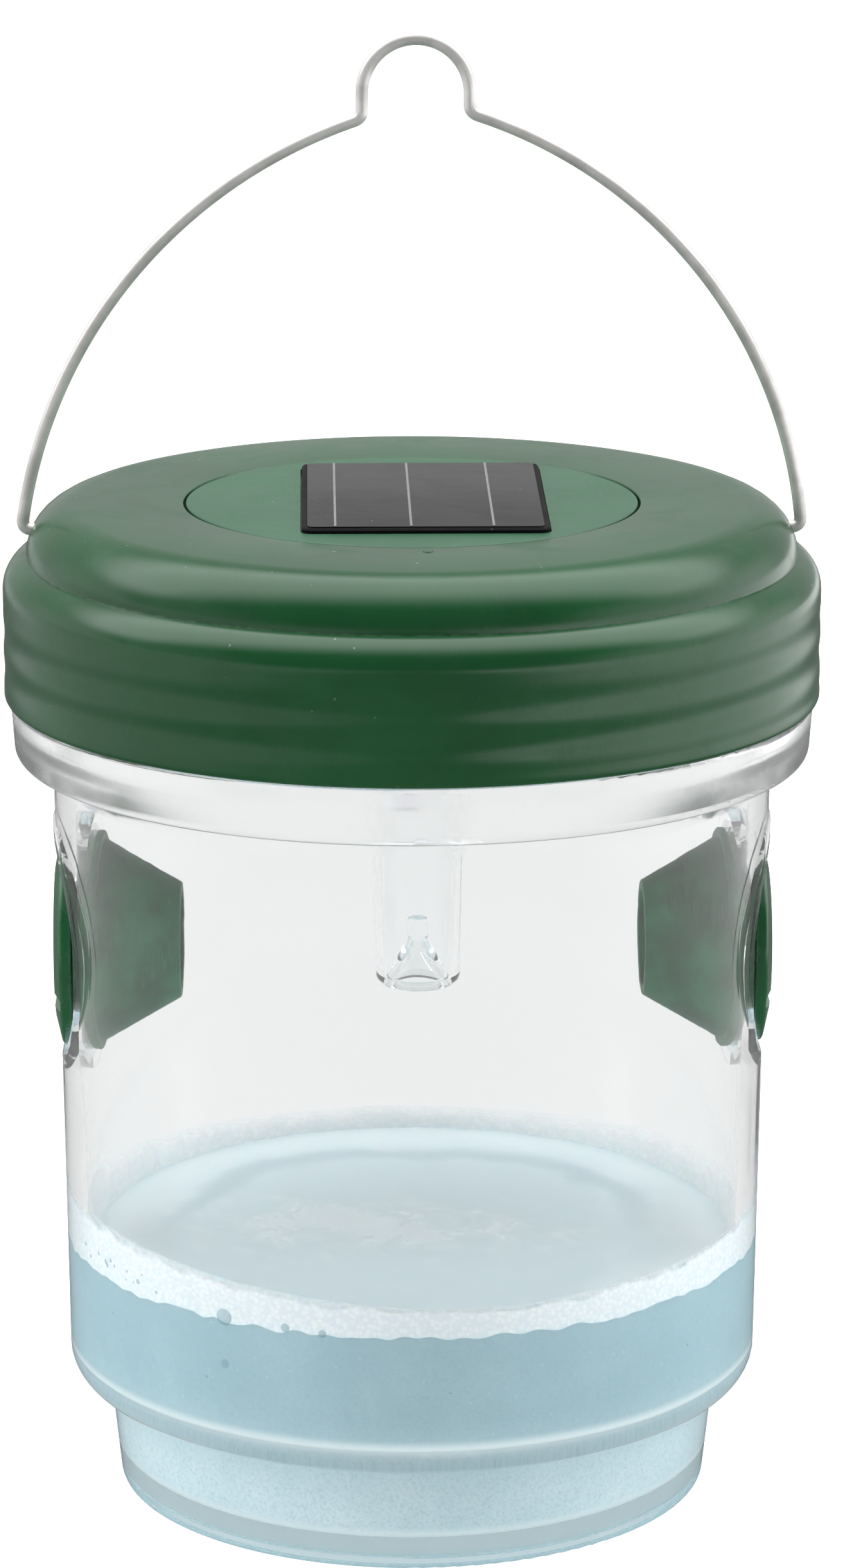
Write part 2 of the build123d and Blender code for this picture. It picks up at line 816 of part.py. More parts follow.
with BuildPart() as battery_cover:
    cover_bottom = housing_bottom - 0.1
    block(
        (cover_left + moving_gap, cover_front + moving_gap, cover_bottom),
        (cover_right - moving_gap, cover_back - moving_gap, cover_bottom + cover_thickness),
        rounding=2.7,
    )
    round_bar((cover_screw_x, cell_y, cover_bottom - 1), 1.2, 4, mode=Mode.SUBTRACT)
    round_bar((cover_screw_x, cell_y, cover_bottom - 1), 2.1, 1.5, mode=Mode.SUBTRACT)
    for rib in range(cover_ribs):
        rib_x = cover_rib_pitch * (rib - (cover_ribs - 1) / 2)
        block(
            (rib_x - 0.4, cell_y - 4.0, cover_bottom - 0.5),
            (rib_x + 0.4, cell_y + 4.0, cover_bottom + 0.1),
        )
save(battery_cover, "battery_cover")

with BuildPart() as cover_screw:
    screw((cover_screw_x, cell_y, cover_bottom + 0.5), 1.8, 1.1, 0.9, 5.2)
save(cover_screw, "cover_screw")

# ---------------------------------------------------------------- bail

loop_left = loop_x - loop_radius
loop_right = loop_x + loop_radius

with BuildPart() as bail:
    with BuildLine(Plane.XZ) as bail_route:
        Line((-wire_end, pivot_z), (-pivot_reach, pivot_z))
        ThreePointArc((-pivot_reach, pivot_z), left_arm_middle, left_kink)
        Line(left_kink, (loop_left, loop_z))
        ThreePointArc((loop_left, loop_z), (loop_x, loop_z + loop_radius), (loop_right, loop_z))
        Line((loop_right, loop_z), right_kink)
        ThreePointArc(right_kink, right_arm_middle, (pivot_reach, pivot_z))
        Line((pivot_reach, pivot_z), (wire_end, pivot_z))
        corners = bail_route.vertices().filter_by(
            lambda v: any(
                abs(v.X - x) + abs(v.Z - z) < 0.01
                for x, z in (
                    (-pivot_reach, pivot_z), left_kink, right_kink, (pivot_reach, pivot_z)
                )
            )
        )
        fillet(corners, bend_radius)
    with BuildSketch(Plane(origin=(-wire_end, 0, pivot_z), z_dir=(-1, 0, 0))) as wire_section:
        Circle(wire_radius)
    sweep(wire_section.sketch, path=bail_route.line)
save(bail, "bail")
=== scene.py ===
import math
import random

import bmesh
import bpy
from mathutils import Matrix, Vector, noise


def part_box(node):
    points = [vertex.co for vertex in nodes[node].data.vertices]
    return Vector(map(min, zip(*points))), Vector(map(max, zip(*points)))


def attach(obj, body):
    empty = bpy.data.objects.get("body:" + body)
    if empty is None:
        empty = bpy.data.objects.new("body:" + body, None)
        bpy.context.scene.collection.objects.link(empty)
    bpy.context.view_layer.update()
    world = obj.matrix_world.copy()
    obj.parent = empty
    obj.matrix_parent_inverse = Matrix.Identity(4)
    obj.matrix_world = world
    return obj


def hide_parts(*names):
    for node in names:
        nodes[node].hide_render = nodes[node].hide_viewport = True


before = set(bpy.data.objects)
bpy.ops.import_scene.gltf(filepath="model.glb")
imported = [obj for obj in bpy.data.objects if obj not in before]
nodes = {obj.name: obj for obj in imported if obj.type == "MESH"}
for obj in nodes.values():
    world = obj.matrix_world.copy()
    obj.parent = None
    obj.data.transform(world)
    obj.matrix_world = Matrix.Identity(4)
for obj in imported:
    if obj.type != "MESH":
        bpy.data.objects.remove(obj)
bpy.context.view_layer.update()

# Looks of a solar wasp trap: a clear jar with two cone entries and bait in it, a dark green screw
# lid with a solar disc and a light tube, and a wire bail. Metres; MM turns millimetres into them.

MM = 0.001
scene = bpy.context.scene


# ---------------------------------------------------------------- sizes, from the frame

lid_low, lid_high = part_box("lid")
_, disc_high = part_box("solar_disc")
liquid_low, liquid_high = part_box("bait_liquid")

LEVEL = liquid_high.z            # the bait's edge at the wall
SKIRT_RADIUS = lid_high.x
SKIRT_BOTTOM = lid_low.z
LID_TOP = disc_high.z

# The lid and its thread, mm
THREAD_PITCH = 6.0
SINK_DEPTH = 0.2                 # how far the skirt sinks in behind the thread
SINK_LOW, SINK_HIGH = 127.5, 141.0
GROOVE_RADIUS = 34.8             # seat of the solar disc
DISC_BORE = 33.0
DECK_UNDERSIDE = 153.2
TIER_RADIUS, TIER_BORE = 58.9, 56.0
SKIRT_BORE = 60.4
PIVOT_HEIGHT = 151.4             # of the bail's two ends

# The jar's belly, mm
WETTING = 0.04                   # the bait wets the wall, so no air shows between them
HEEL_HEIGHT = 20.2
HEEL_RADIUS = 50.55
BELLY_SLOPE = 1.45 / 93.8
FOOT_RADIUS, FOOT_TOP_RADIUS = 43.1, 44.6
FROST_FROM = 112.0               # the collar and neck above this are frosted

WIRE_RADIUS = 0.975              # of the bail, mm
CLARITY = 0.975                  # the rest is a slight haze in the clear plastic
SEEN_THROUGH = 0.74              # brightness of the studio behind clear plastic


# ---------------------------------------------------------------- mesh tools

def rounded(corners, steps=6):
    """Closed outline of (radius, height) points from (radius, height, rounding) corners, in mm."""
    points = []
    count = len(corners)
    for i, (radius, height, rounding) in enumerate(corners):
        here = Vector((radius, height))
        if not rounding:
            points.append(here)
            continue
        back = Vector(corners[i - 1][:2]) - here
        ahead = Vector(corners[(i + 1) % count][:2]) - here
        half_turn = back.angle(ahead) / 2
        reach = rounding / math.tan(half_turn)
        inwards = (back.normalized() + ahead.normalized()).normalized()
        centre = here + inwards * rounding / math.sin(half_turn)
        start = here + back.normalized() * reach - centre
        stop = here + ahead.normalized() * reach - centre
        sweep = start.angle_signed(stop)
        for k in range(steps + 1):
            turn = Matrix.Rotation(-sweep * k / steps, 2)
            points.append(centre + turn @ start)
    return points


def split_run(points, radius, low, high, rows):
    """Adds level rows to the upright run outside a radius that spans low..high, so that it can ripple."""
    made = []
    for i, point in enumerate(points):
        made.append(point)
        following = points[(i + 1) % len(points)]
        spans = min(point.y, following.y) <= low and max(point.y, following.y) >= high
        if spans and point.x > radius:
            for k in range(1, rows):
                made.append(point.lerp(following, k / rows))
    return made


def keep_mesh(bm, name):
    """Mesh made of the faces built so far."""
    mesh = bpy.data.meshes.new(name)
    bm.to_mesh(mesh)
    bm.free()
    return mesh


def finish_mesh(name, mesh, sharp_angle=32):
    """Object from a mesh, smooth except at edges sharper than the angle."""
    mesh.shade_smooth()
    mesh.set_sharp_from_angle(angle=math.radians(sharp_angle))
    piece = bpy.data.objects.new(name, mesh)
    scene.collection.objects.link(piece)
    return piece


def lathe(name, outline, segments=240, centre=(0.0, 0.0), shift=None, sharp_angle=32):
    """Turns a closed outline in mm about a vertical axis. Points at radius 0 become one vertex."""
    centre_x, centre_y = centre
    bm = bmesh.new()
    rings = []
    for point in outline:
        if point.x < 1e-6:
            rings.append([bm.verts.new((centre_x * MM, centre_y * MM, point.y * MM))])
            continue
        ring = []
        for k in range(segments):
            angle = 2 * math.pi * k / segments
            radius, height = (point.x, point.y) if shift is None else shift(point.x, point.y, angle)
            x = centre_x + radius * math.cos(angle)
            y = centre_y + radius * math.sin(angle)
            ring.append(bm.verts.new((x * MM, y * MM, height * MM)))
        rings.append(ring)
    for i, ring in enumerate(rings):
        above = rings[(i + 1) % len(rings)]
        if len(ring) == 1 and len(above) == 1:
            continue
        for k in range(segments):
            following = (k + 1) % segments
            if len(ring) == 1:
                bm.faces.new((ring[0], above[following], above[k]))
            elif len(above) == 1:
                bm.faces.new((ring[k], ring[following], above[0]))
            else:
                bm.faces.new((ring[k], ring[following], above[following], above[k]))
    bmesh.ops.recalc_face_normals(bm, faces=bm.faces)
    mesh = keep_mesh(bm, name)
    return finish_mesh(name, mesh, sharp_angle)


def tube(name, path, radius):
    """Round wire along a list of points in mm, with domed ends. U runs round it, V along it in cm."""
    sides = 28
    bm = bmesh.new()
    uv = bm.loops.layers.uv.new("along")
    points = [Vector(p) for p in path]
    headings = []
    for i in range(len(points)):
        before = points[max(i - 1, 0)]
        after = points[min(i + 1, len(points) - 1)]
        headings.append((after - before).normalized())
    side = Vector((0, 1, 0))
    rings = []
    travelled = 0.0

    def ring_at(centre, heading, ring_radius, along):
        across = side.cross(heading).normalized()
        up = heading.cross(across).normalized()
        verts = []
        for k in range(sides):
            angle = 2 * math.pi * k / sides
            place = centre + (across * math.cos(angle) + up * math.sin(angle)) * ring_radius
            verts.append(bm.verts.new(place * MM))
        rings.append((verts, along))

    dome = [math.pi / 2 * k / 5 for k in range(1, 5)]
    for turn in dome:
        centre = points[0] + headings[0] * radius * (1 - math.sin(turn))
        ring_at(centre, headings[0], radius * math.cos(math.pi / 2 - turn), 0)
    for i in range(1, len(points) - 1):
        travelled += (points[i] - points[i - 1]).length
        ring_at(points[i], headings[i], radius, travelled)
    travelled += (points[-1] - points[-2]).length
    for turn in reversed(dome):
        centre = points[-1] - headings[-1] * radius * (1 - math.sin(turn))
        ring_at(centre, headings[-1], radius * math.cos(math.pi / 2 - turn), travelled)
    for (low, low_v), (high, high_v) in zip(rings, rings[1:]):
        for k in range(sides):
            following = (k + 1) % sides
            face = bm.faces.new((low[k], low[following], high[following], high[k]))
            places = ((k, low_v), (k + 1, low_v), (k + 1, high_v), (k, high_v))
            for loop, (around, along) in zip(face.loops, places):
                loop[uv].uv = (around / sides, along / 10)
    bm.faces.new(rings[0][0])
    bm.faces.new(rings[-1][0])
    bmesh.ops.recalc_face_normals(bm, faces=bm.faces)
    mesh = keep_mesh(bm, name)
    return finish_mesh(name, mesh, 50)


def thread(name, root, crest, start, turns):
    """Right-handed ridge inside the lid, in mm, that fades in and out at its ends."""
    bm = bmesh.new()
    columns = 96
    half_root, half_tip = 1.4, 0.6
    buried = root + 0.2
    rings = []
    count = int(columns * turns)
    for k in range(count + 1):
        angle = 2 * math.pi * k / columns
        middle = start + THREAD_PITCH * k / columns
        fade = min(1.0, k / 8 + 0.05, (count - k) / 8 + 0.05)
        tip = root + (crest - root) * fade
        section = (
            (buried, middle - half_root * fade), (tip, middle - half_tip * fade),
            (tip, middle + half_tip * fade), (buried, middle + half_root * fade),
        )
        ahead, across = math.cos(angle), math.sin(angle)
        rings.append([bm.verts.new((r * ahead * MM, r * across * MM, z * MM)) for r, z in section])
    for low, high in zip(rings, rings[1:]):
        for k in range(4):
            following = (k + 1) % 4
            bm.faces.new((low[k], low[following], high[following], high[k]))
    bm.faces.new(rings[0])
    bm.faces.new(rings[-1])
    bmesh.ops.recalc_face_normals(bm, faces=bm.faces)
    mesh = keep_mesh(bm, name)
    return finish_mesh(name, mesh)


def turned_level(outline, side, axis_z):
    """Turns a closed outline of (distance out, radius) points in mm about a level axis along X."""
    segments = 48
    bm = bmesh.new()
    rings = []
    for out, radius in outline:
        if radius < 1e-6:
            rings.append([bm.verts.new((side * out * MM, 0, axis_z * MM))])
            continue
        turns = [2 * math.pi * k / segments for k in range(segments)]
        ring = []
        for turn in turns:
            y = radius * math.cos(turn)
            z = axis_z + radius * math.sin(turn)
            ring.append(bm.verts.new((side * out * MM, y * MM, z * MM)))
        rings.append(ring)
    for ring, above in zip(rings, rings[1:]):
        for k in range(segments):
            following = (k + 1) % segments
            low = (ring[0],) if len(ring) == 1 else (ring[k], ring[following])
            high = (above[0],) if len(above) == 1 else (above[following], above[k])
            bm.faces.new(low + high)
    bmesh.ops.recalc_face_normals(bm, faces=bm.faces)
    mesh = keep_mesh(bm, "cutter")
    return mesh


def cut(piece, cutters, sharp_angle=32):
    """Takes cutter meshes out of a piece and keeps the result as its mesh."""
    for cutter in cutters:
        tool = bpy.data.objects.new("cutter", cutter)
        scene.collection.objects.link(tool)
        boolean = piece.modifiers.new("hole", "BOOLEAN")
        boolean.object = tool
        boolean.operation = "DIFFERENCE"
        boolean.solver = "EXACT"
        bpy.context.view_layer.update()
        solved = piece.evaluated_get(bpy.context.evaluated_depsgraph_get())
        made = bpy.data.meshes.new_from_object(solved)
        piece.modifiers.clear()
        piece.data = made
        bpy.data.objects.remove(tool)
    piece.data.shade_smooth()
    piece.data.set_sharp_from_angle(angle=math.radians(sharp_angle))
    return piece


def arc(start, middle, stop, steps):
    """Points in the XZ plane on the circle through three (x, z) points, ends included."""
    (ax, az), (bx, bz), (cx, cz) = start, middle, stop
    d = 2 * (ax * (bz - cz) + bx * (cz - az) + cx * (az - bz))
    ux = ((ax**2 + az**2) * (bz - cz) + (bx**2 + bz**2) * (cz - az) + (cx**2 + cz**2) * (az - bz)) / d
    uz = ((ax**2 + az**2) * (cx - bx) + (bx**2 + bz**2) * (ax - cx) + (cx**2 + cz**2) * (bx - ax)) / d
    radius = math.hypot(ax - ux, az - uz)
    angles = [math.atan2(z - uz, x - ux) for x, z in (start, middle, stop)]
    for i in (1, 2):
        while angles[i] - angles[i - 1] > math.pi:
            angles[i] -= 2 * math.pi
        while angles[i] - angles[i - 1] < -math.pi:
            angles[i] += 2 * math.pi
    turns = [angles[0] + (angles[2] - angles[0]) * k / steps for k in range(steps + 1)]
    return [(ux + radius * math.cos(a), uz + radius * math.sin(a)) for a in turns]


def round_corners(path, corners, radius):
    """Replaces the named corner points of an (x, z) path with arcs of a radius."""
    steps = 8
    made = []
    for i, point in enumerate(path):
        if point not in corners:
            made.append(point)
            continue
        here = Vector(point)
        back = (Vector(path[i - 1]) - here)
        ahead = (Vector(path[i + 1]) - here)
        half_turn = back.angle(ahead) / 2
        reach = min(radius / math.tan(half_turn), back.length * 0.95, ahead.length * 0.95)
        start = here + back.normalized() * reach
        stop = here + ahead.normalized() * reach
        for k in range(steps + 1):
            t = k / steps
            place = start * (1 - t) ** 2 + here * 2 * t * (1 - t) + stop * t**2
            made.append((place.x, place.y))
    return made


# ---------------------------------------------------------------- node tools

FLOAT = "NodeSocketFloat"


def put(tree, kind, links=None, **settings):
    """Adds a node. Links maps a socket name or number to a value or to another node's socket."""
    made = tree.nodes.new(kind)
    for key, value in settings.items():
        setattr(made, key, value)
    for key, value in (links or {}).items():
        socket = made.inputs[key]
        if isinstance(value, bpy.types.NodeSocket):
            tree.links.new(value, socket)
        else:
            socket.default_value = value
    return made


def calc(tree, operation, first, second=0.0, clamp=False):
    """Math node's result."""
    links = {0: first, 1: second}
    return put(tree, "ShaderNodeMath", links, operation=operation, use_clamp=clamp).outputs[0]


def ramp(tree, value, low, high, bottom=0.0, top=1.0):
    """A value eased from low..high to bottom..top."""
    links = {"Value": value, "From Min": low, "From Max": high, "To Min": bottom, "To Max": top}
    made = put(tree, "ShaderNodeMapRange", links, interpolation_type="SMOOTHSTEP")
    return made.outputs["Result"]


def blend_colours(tree, share, first, second):
    """Colour between two colours."""
    made = put(tree, "ShaderNodeMix", {0: share, 6: first, 7: second}, data_type="RGBA")
    return made.outputs[2]


def millimetres(tree):
    """The piece's own coordinates, in mm."""
    place = put(tree, "ShaderNodeTexCoord").outputs["Object"]
    links = {0: place, "Scale": 1 / MM}
    return put(tree, "ShaderNodeVectorMath", links, operation="SCALE").outputs[0]


def new_group(name, inputs, outputs):
    """Empty shader group with inputs (name, value), a vector where the value is one, and outputs."""
    tree = bpy.data.node_groups.new(name, "ShaderNodeTree")
    for label, value in inputs:
        kind = "NodeSocketVector" if isinstance(value, tuple) else FLOAT
        socket = tree.interface.new_socket(label, in_out="INPUT", socket_type=kind)
        socket.default_value = value
    for label, kind in outputs:
        tree.interface.new_socket(label, in_out="OUTPUT", socket_type=kind)
    given = tree.nodes.new("NodeGroupInput").outputs
    result = tree.nodes.new("NodeGroupOutput").inputs
    return tree, given, result


def make_moulded_grain():
    """Fine skin of a moulded part: pebbled height, and the slow shade drift of the melt."""
    inputs = (("Grain mm", 0.35), ("Drift mm", 22.0))
    tree, given, result = new_group("moulded_grain", inputs, (("Height", FLOAT), ("Drift", FLOAT)))
    place = millimetres(tree)
    fine = put(tree, "ShaderNodeTexNoise", {
        "Vector": place, "Scale": calc(tree, "DIVIDE", 1.0, given["Grain mm"]), "Detail": 3.0,
    })
    slow = put(tree, "ShaderNodeTexNoise", {
        "Vector": place, "Scale": calc(tree, "DIVIDE", 1.0, given["Drift mm"]), "Detail": 4.0,
        "Roughness": 0.6,
    })
    tree.links.new(fine.outputs[0], result["Height"])
    tree.links.new(slow.outputs[0], result["Drift"])
    return tree


def make_edge_wear():
    """Mask of the corners that rub: 1 on a worn edge, 0 on a face."""
    inputs = (("Width mm", 0.5), ("Wear", 0.6))
    tree, given, result = new_group("edge_wear", inputs, (("Mask", FLOAT),))
    normal = put(tree, "ShaderNodeNewGeometry").outputs["Normal"]
    width = calc(tree, "MULTIPLY", given["Width mm"], MM)
    soft = put(tree, "ShaderNodeBevel", {"Radius": width}, samples=4).outputs[0]
    alike = put(tree, "ShaderNodeVectorMath", {0: normal, 1: soft}, operation="DOT_PRODUCT")
    edge = ramp(tree, calc(tree, "SUBTRACT", 1.0, alike.outputs["Value"]), 0.01, 0.2)
    chips = put(tree, "ShaderNodeTexNoise", {"Vector": millimetres(tree), "Scale": 0.6, "Detail": 5.0})
    patchy = ramp(tree, chips.outputs[0], 0.35, 0.65)
    mask = calc(tree, "MULTIPLY", calc(tree, "MULTIPLY", edge, patchy), given["Wear"], clamp=True)
    tree.links.new(mask, result["Mask"])
    return tree


def make_handling_marks():
    """Smudges and fine hairline scratches from use. Both are masks from 0 to 1."""
    inputs = (("Smudge mm", 14.0), ("Scratches", 0.5))
    outputs = (("Smudges", FLOAT), ("Scratches", FLOAT))
    tree, given, result = new_group("handling_marks", inputs, outputs)
    place = millimetres(tree)
    scale = calc(tree, "DIVIDE", 1.0, given["Smudge mm"])
    smudge = put(tree, "ShaderNodeTexNoise", {
        "Vector": place, "Scale": scale, "Detail": 6.0, "Roughness": 0.62, "Distortion": 0.8,
    })
    tree.links.new(ramp(tree, smudge.outputs[0], 0.42, 0.72), result["Smudges"])
    hairs = None
    for tilt, stretch in ((0.5, 0.03), (2.1, 0.045)):
        turned = put(tree, "ShaderNodeMapping", {
            "Vector": place, "Rotation": (tilt, tilt * 0.7, tilt * 1.3),
            "Scale": (1.6, stretch, stretch * 3),
        })
        hair = put(tree, "ShaderNodeTexNoise", {"Vector": turned.outputs[0], "Scale": 1.0, "Detail": 2.0})
        off_middle = calc(tree, "ABSOLUTE", calc(tree, "SUBTRACT", hair.outputs[0], 0.5))
        line = ramp(tree, off_middle, 0.0, 0.012, 1, 0)
        hairs = line if hairs is None else calc(tree, "MAXIMUM", hairs, line)
    gate = ramp(tree, smudge.outputs[0], 0.5, 0.6)
    kept = calc(tree, "MULTIPLY", calc(tree, "MULTIPLY", hairs, gate), given["Scratches"], clamp=True)
    tree.links.new(kept, result["Scratches"])
    return tree


def make_dust():
    """Dust specks, thicker on faces that look up."""
    inputs = (("Amount", 0.3), ("Speck mm", 0.5))
    tree, given, result = new_group("dust", inputs, (("Mask", FLOAT),))
    place = millimetres(tree)
    normal = put(tree, "ShaderNodeSeparateXYZ", {0: put(tree, "ShaderNodeNewGeometry").outputs["Normal"]})
    up = ramp(tree, normal.outputs["Z"], -0.2, 1.0, 0.25, 1.0)
    scale = calc(tree, "DIVIDE", 1.0, calc(tree, "MULTIPLY", given["Speck mm"], 6.0))
    specks = put(tree, "ShaderNodeTexVoronoi", {"Vector": place, "Scale": scale})
    size = put(tree, "ShaderNodeSeparateColor", {0: specks.outputs["Color"]}).outputs[0]
    reach = calc(tree, "MULTIPLY", calc(tree, "POWER", size, 3.0), 0.09)
    dot = ramp(tree, calc(tree, "SUBTRACT", reach, specks.outputs["Distance"]), 0.0, 0.02)
    mask = calc(tree, "MULTIPLY", calc(tree, "MULTIPLY", dot, up), given["Amount"], clamp=True)
    tree.links.new(mask, result["Mask"])
    return tree


def make_drawn_metal():
    """Drawing lines of a metal part: fine height and shade, stretched along Z of the place given in mm."""
    inputs = (("Place", (0.0, 0.0, 0.0)), ("Line mm", 0.12), ("Stretch", 40.0))
    tree, given, result = new_group("drawn_metal", inputs, (("Height", FLOAT), ("Shade", FLOAT)))
    place = put(tree, "ShaderNodeSeparateXYZ", {0: given["Place"]})
    across = calc(tree, "DIVIDE", 1.0, given["Line mm"])
    along = calc(tree, "DIVIDE", across, given["Stretch"])
    stretched = put(tree, "ShaderNodeCombineXYZ", {
        0: calc(tree, "MULTIPLY", place.outputs[0], across),
        1: calc(tree, "MULTIPLY", place.outputs[1], across),
        2: calc(tree, "MULTIPLY", place.outputs[2], along),
    })
    lines = put(tree, "ShaderNodeTexNoise", {"Vector": stretched.outputs[0], "Scale": 1.0, "Detail": 4.0})
    tarnish = put(tree, "ShaderNodeTexNoise", {"Vector": given["Place"], "Scale": 0.16, "Detail": 6.0})
    tree.links.new(lines.outputs[0], result["Height"])
    tree.links.new(ramp(tree, tarnish.outputs[0], 0.35, 0.7), result["Shade"])
    return tree


GROUPS = {
    "moulded_grain": make_moulded_grain(),
    "edge_wear": make_edge_wear(),
    "handling_marks": make_handling_marks(),
    "dust": make_dust(),
    "drawn_metal": make_drawn_metal(),
}


def use(tree, group, **values):
    """Places a shared effect with its own values, and returns its outputs. _ in a name is a space."""
    made = tree.nodes.new("ShaderNodeGroup")
    made.node_tree = GROUPS[group]
    for label, value in values.items():
        socket = made.inputs[label.replace("_", " ")]
        if isinstance(value, bpy.types.NodeSocket):
            tree.links.new(value, socket)
        else:
            socket.default_value = value
    return made.outputs


# ---------------------------------------------------------------- materials

def new_material(name):
    """Empty node material: its tree and its output socket."""
    made = bpy.data.materials.new(name)
    made.use_nodes = True
    made.node_tree.nodes.clear()
    output = made.node_tree.nodes.new("ShaderNodeOutputMaterial")
    return made, made.node_tree, output.inputs["Surface"]


def shader(tree, surface, links):
    """Principled shader wired to the surface."""
    made = put(tree, "ShaderNodeBsdfPrincipled", links)
    tree.links.new(made.outputs[0], surface)
    return made


def bump(tree, height, depth_mm, below=None):
    """Normal from a height from 0 to 1 that stands for a depth in mm."""
    links = {"Height": height, "Distance": depth_mm * MM, "Strength": 1.0}
    if below is not None:
        links["Normal"] = below
    return put(tree, "ShaderNodeBump", links).outputs[0]


def moulded_plastic(name, colour, worn, roughness, grain_mm=0.35, grain_depth=0.004, drift=0.06,
                    drift_mm=30.0, dust=0.35, scratches=0.4, coat=0.0, gloss=0.5):
    """Coloured moulding: grain, slow colour drift, rubbed edges, smudges, hairlines and dust."""
    made, tree, surface = new_material(name)
    grain = use(tree, "moulded_grain", Grain_mm=grain_mm, Drift_mm=drift_mm)
    marks = use(tree, "handling_marks", Scratches=scratches)
    edge = use(tree, "edge_wear", Width_mm=0.5)["Mask"]
    specks = use(tree, "dust", Amount=dust)["Mask"]
    deep = tuple(c * (1 - drift) for c in colour) + (1,)
    fresh = tuple(min(1, c * (1 + drift)) for c in colour) + (1,)
    body = blend_colours(tree, ramp(tree, grain["Drift"], 0.35, 0.65), deep, fresh)
    rubbed = blend_colours(tree, calc(tree, "MULTIPLY", edge, 0.55), body, worn + (1,))
    scratched = blend_colours(tree, calc(tree, "MULTIPLY", marks["Scratches"], 0.35), rubbed, worn + (1,))
    dusty = blend_colours(tree, specks, scratched, (0.42, 0.44, 0.4, 1))
    base = calc(tree, "ADD", roughness, calc(tree, "MULTIPLY", marks["Smudges"], 0.09))
    rough = calc(tree, "ADD", base, calc(tree, "MULTIPLY", specks, 0.3), clamp=True)
    skin = bump(tree, grain["Height"], grain_depth)
    normal = bump(tree, calc(tree, "SUBTRACT", 1.0, marks["Scratches"]), 0.003, below=skin)
    shader(tree, surface, {
        "Base Color": dusty, "Roughness": rough, "Normal": normal, "Coat Weight": coat,
        "Coat Roughness": 0.12, "Specular IOR Level": gloss,
    })
    return made


def clear_plastic(name, tint, roughness, ripple_depth=0.02, ripple_mm=9.0, ior=1.49, frost_from=None):
    """Clear moulding: faint flow ripple and smudges on slightly hazy plastic that lets light through.
    Given frost_from, a height in mm, it is frosted above that, and its base is painted in the bait's colour
    as a painted reflection of the bait."""
    made, tree, surface = new_material(name)
    grain = use(tree, "moulded_grain", Grain_mm=ripple_mm, Drift_mm=30.0)
    marks = use(tree, "handling_marks", Smudge_mm=18.0, Scratches=0.5)
    rough = calc(tree, "ADD", roughness, calc(tree, "MULTIPLY", marks["Smudges"], 0.02))
    rough = calc(tree, "ADD", rough, calc(tree, "MULTIPLY", marks["Scratches"], 0.12), clamp=True)
    body = blend_colours(tree, grain["Drift"], tint + (1,), (1, 1, 1, 1))
    if frost_from is not None:
        height = put(tree, "ShaderNodeSeparateXYZ", {0: millimetres(tree)}).outputs[2]
        frost = ramp(tree, height, frost_from, frost_from + 5.0, 0.0, 0.2)
        rough = calc(tree, "ADD", rough, frost, clamp=True)
        # painted reflection: the bottom few mm of the jar are painted in the bait's colour
        base = ramp(tree, height, 2.0, 3.6, 1.0, 0.0)
        body = blend_colours(tree, base, body, (0.72, 0.87, 0.92, 1))
        rough = calc(tree, "ADD", rough, calc(tree, "MULTIPLY", base, 0.15), clamp=True)
    glass = put(tree, "ShaderNodeBsdfPrincipled", {
        "Base Color": body, "Roughness": rough, "IOR": ior, "Transmission Weight": CLARITY,
        "Normal": bump(tree, grain["Height"], ripple_depth),
    })
    through = put(tree, "ShaderNodeBsdfTransparent", {"Color": (0.93, 0.95, 0.95, 1)})
    shadow = put(tree, "ShaderNodeLightPath").outputs["Is Shadow Ray"]
    mixed = put(tree, "ShaderNodeMixShader", {0: shadow, 1: glass.outputs[0], 2: through.outputs[0]})
    tree.links.new(mixed.outputs[0], surface)
    return made


def metal(name, colour, dark, roughness, line_mm=0.12, stretch=40.0, depth=0.004, metallic=1.0,
          wire_radius=0.0):
    """Bare metal with drawing lines and a little tarnish. On a wire the lines run along its length."""
    made, tree, surface = new_material(name)
    place = millimetres(tree)
    if wire_radius:
        along = put(tree, "ShaderNodeSeparateXYZ", {0: put(tree, "ShaderNodeTexCoord").outputs["UV"]})
        place = put(tree, "ShaderNodeCombineXYZ", {
            0: calc(tree, "MULTIPLY", along.outputs[0], 2 * math.pi * wire_radius),
            2: calc(tree, "MULTIPLY", along.outputs[1], 10.0),
        }).outputs[0]
    drawn = use(tree, "drawn_metal", Place=place, Line_mm=line_mm, Stretch=stretch)
    marks = use(tree, "handling_marks", Smudge_mm=6.0, Scratches=0.7)
    tint = blend_colours(tree, calc(tree, "MULTIPLY", drawn["Shade"], 0.6), colour + (1,), dark + (1,))
    lined = blend_colours(tree, calc(tree, "MULTIPLY", drawn["Height"], 0.3), tint, dark + (1,))
    rough = calc(tree, "ADD", roughness, calc(tree, "MULTIPLY", drawn["Shade"], 0.15))
    rough = calc(tree, "ADD", rough, calc(tree, "MULTIPLY", marks["Smudges"], 0.06), clamp=True)
    shader(tree, surface, {
        "Base Color": lined, "Metallic": metallic, "Roughness": rough,
        "Normal": bump(tree, drawn["Height"], depth),
    })
    return made


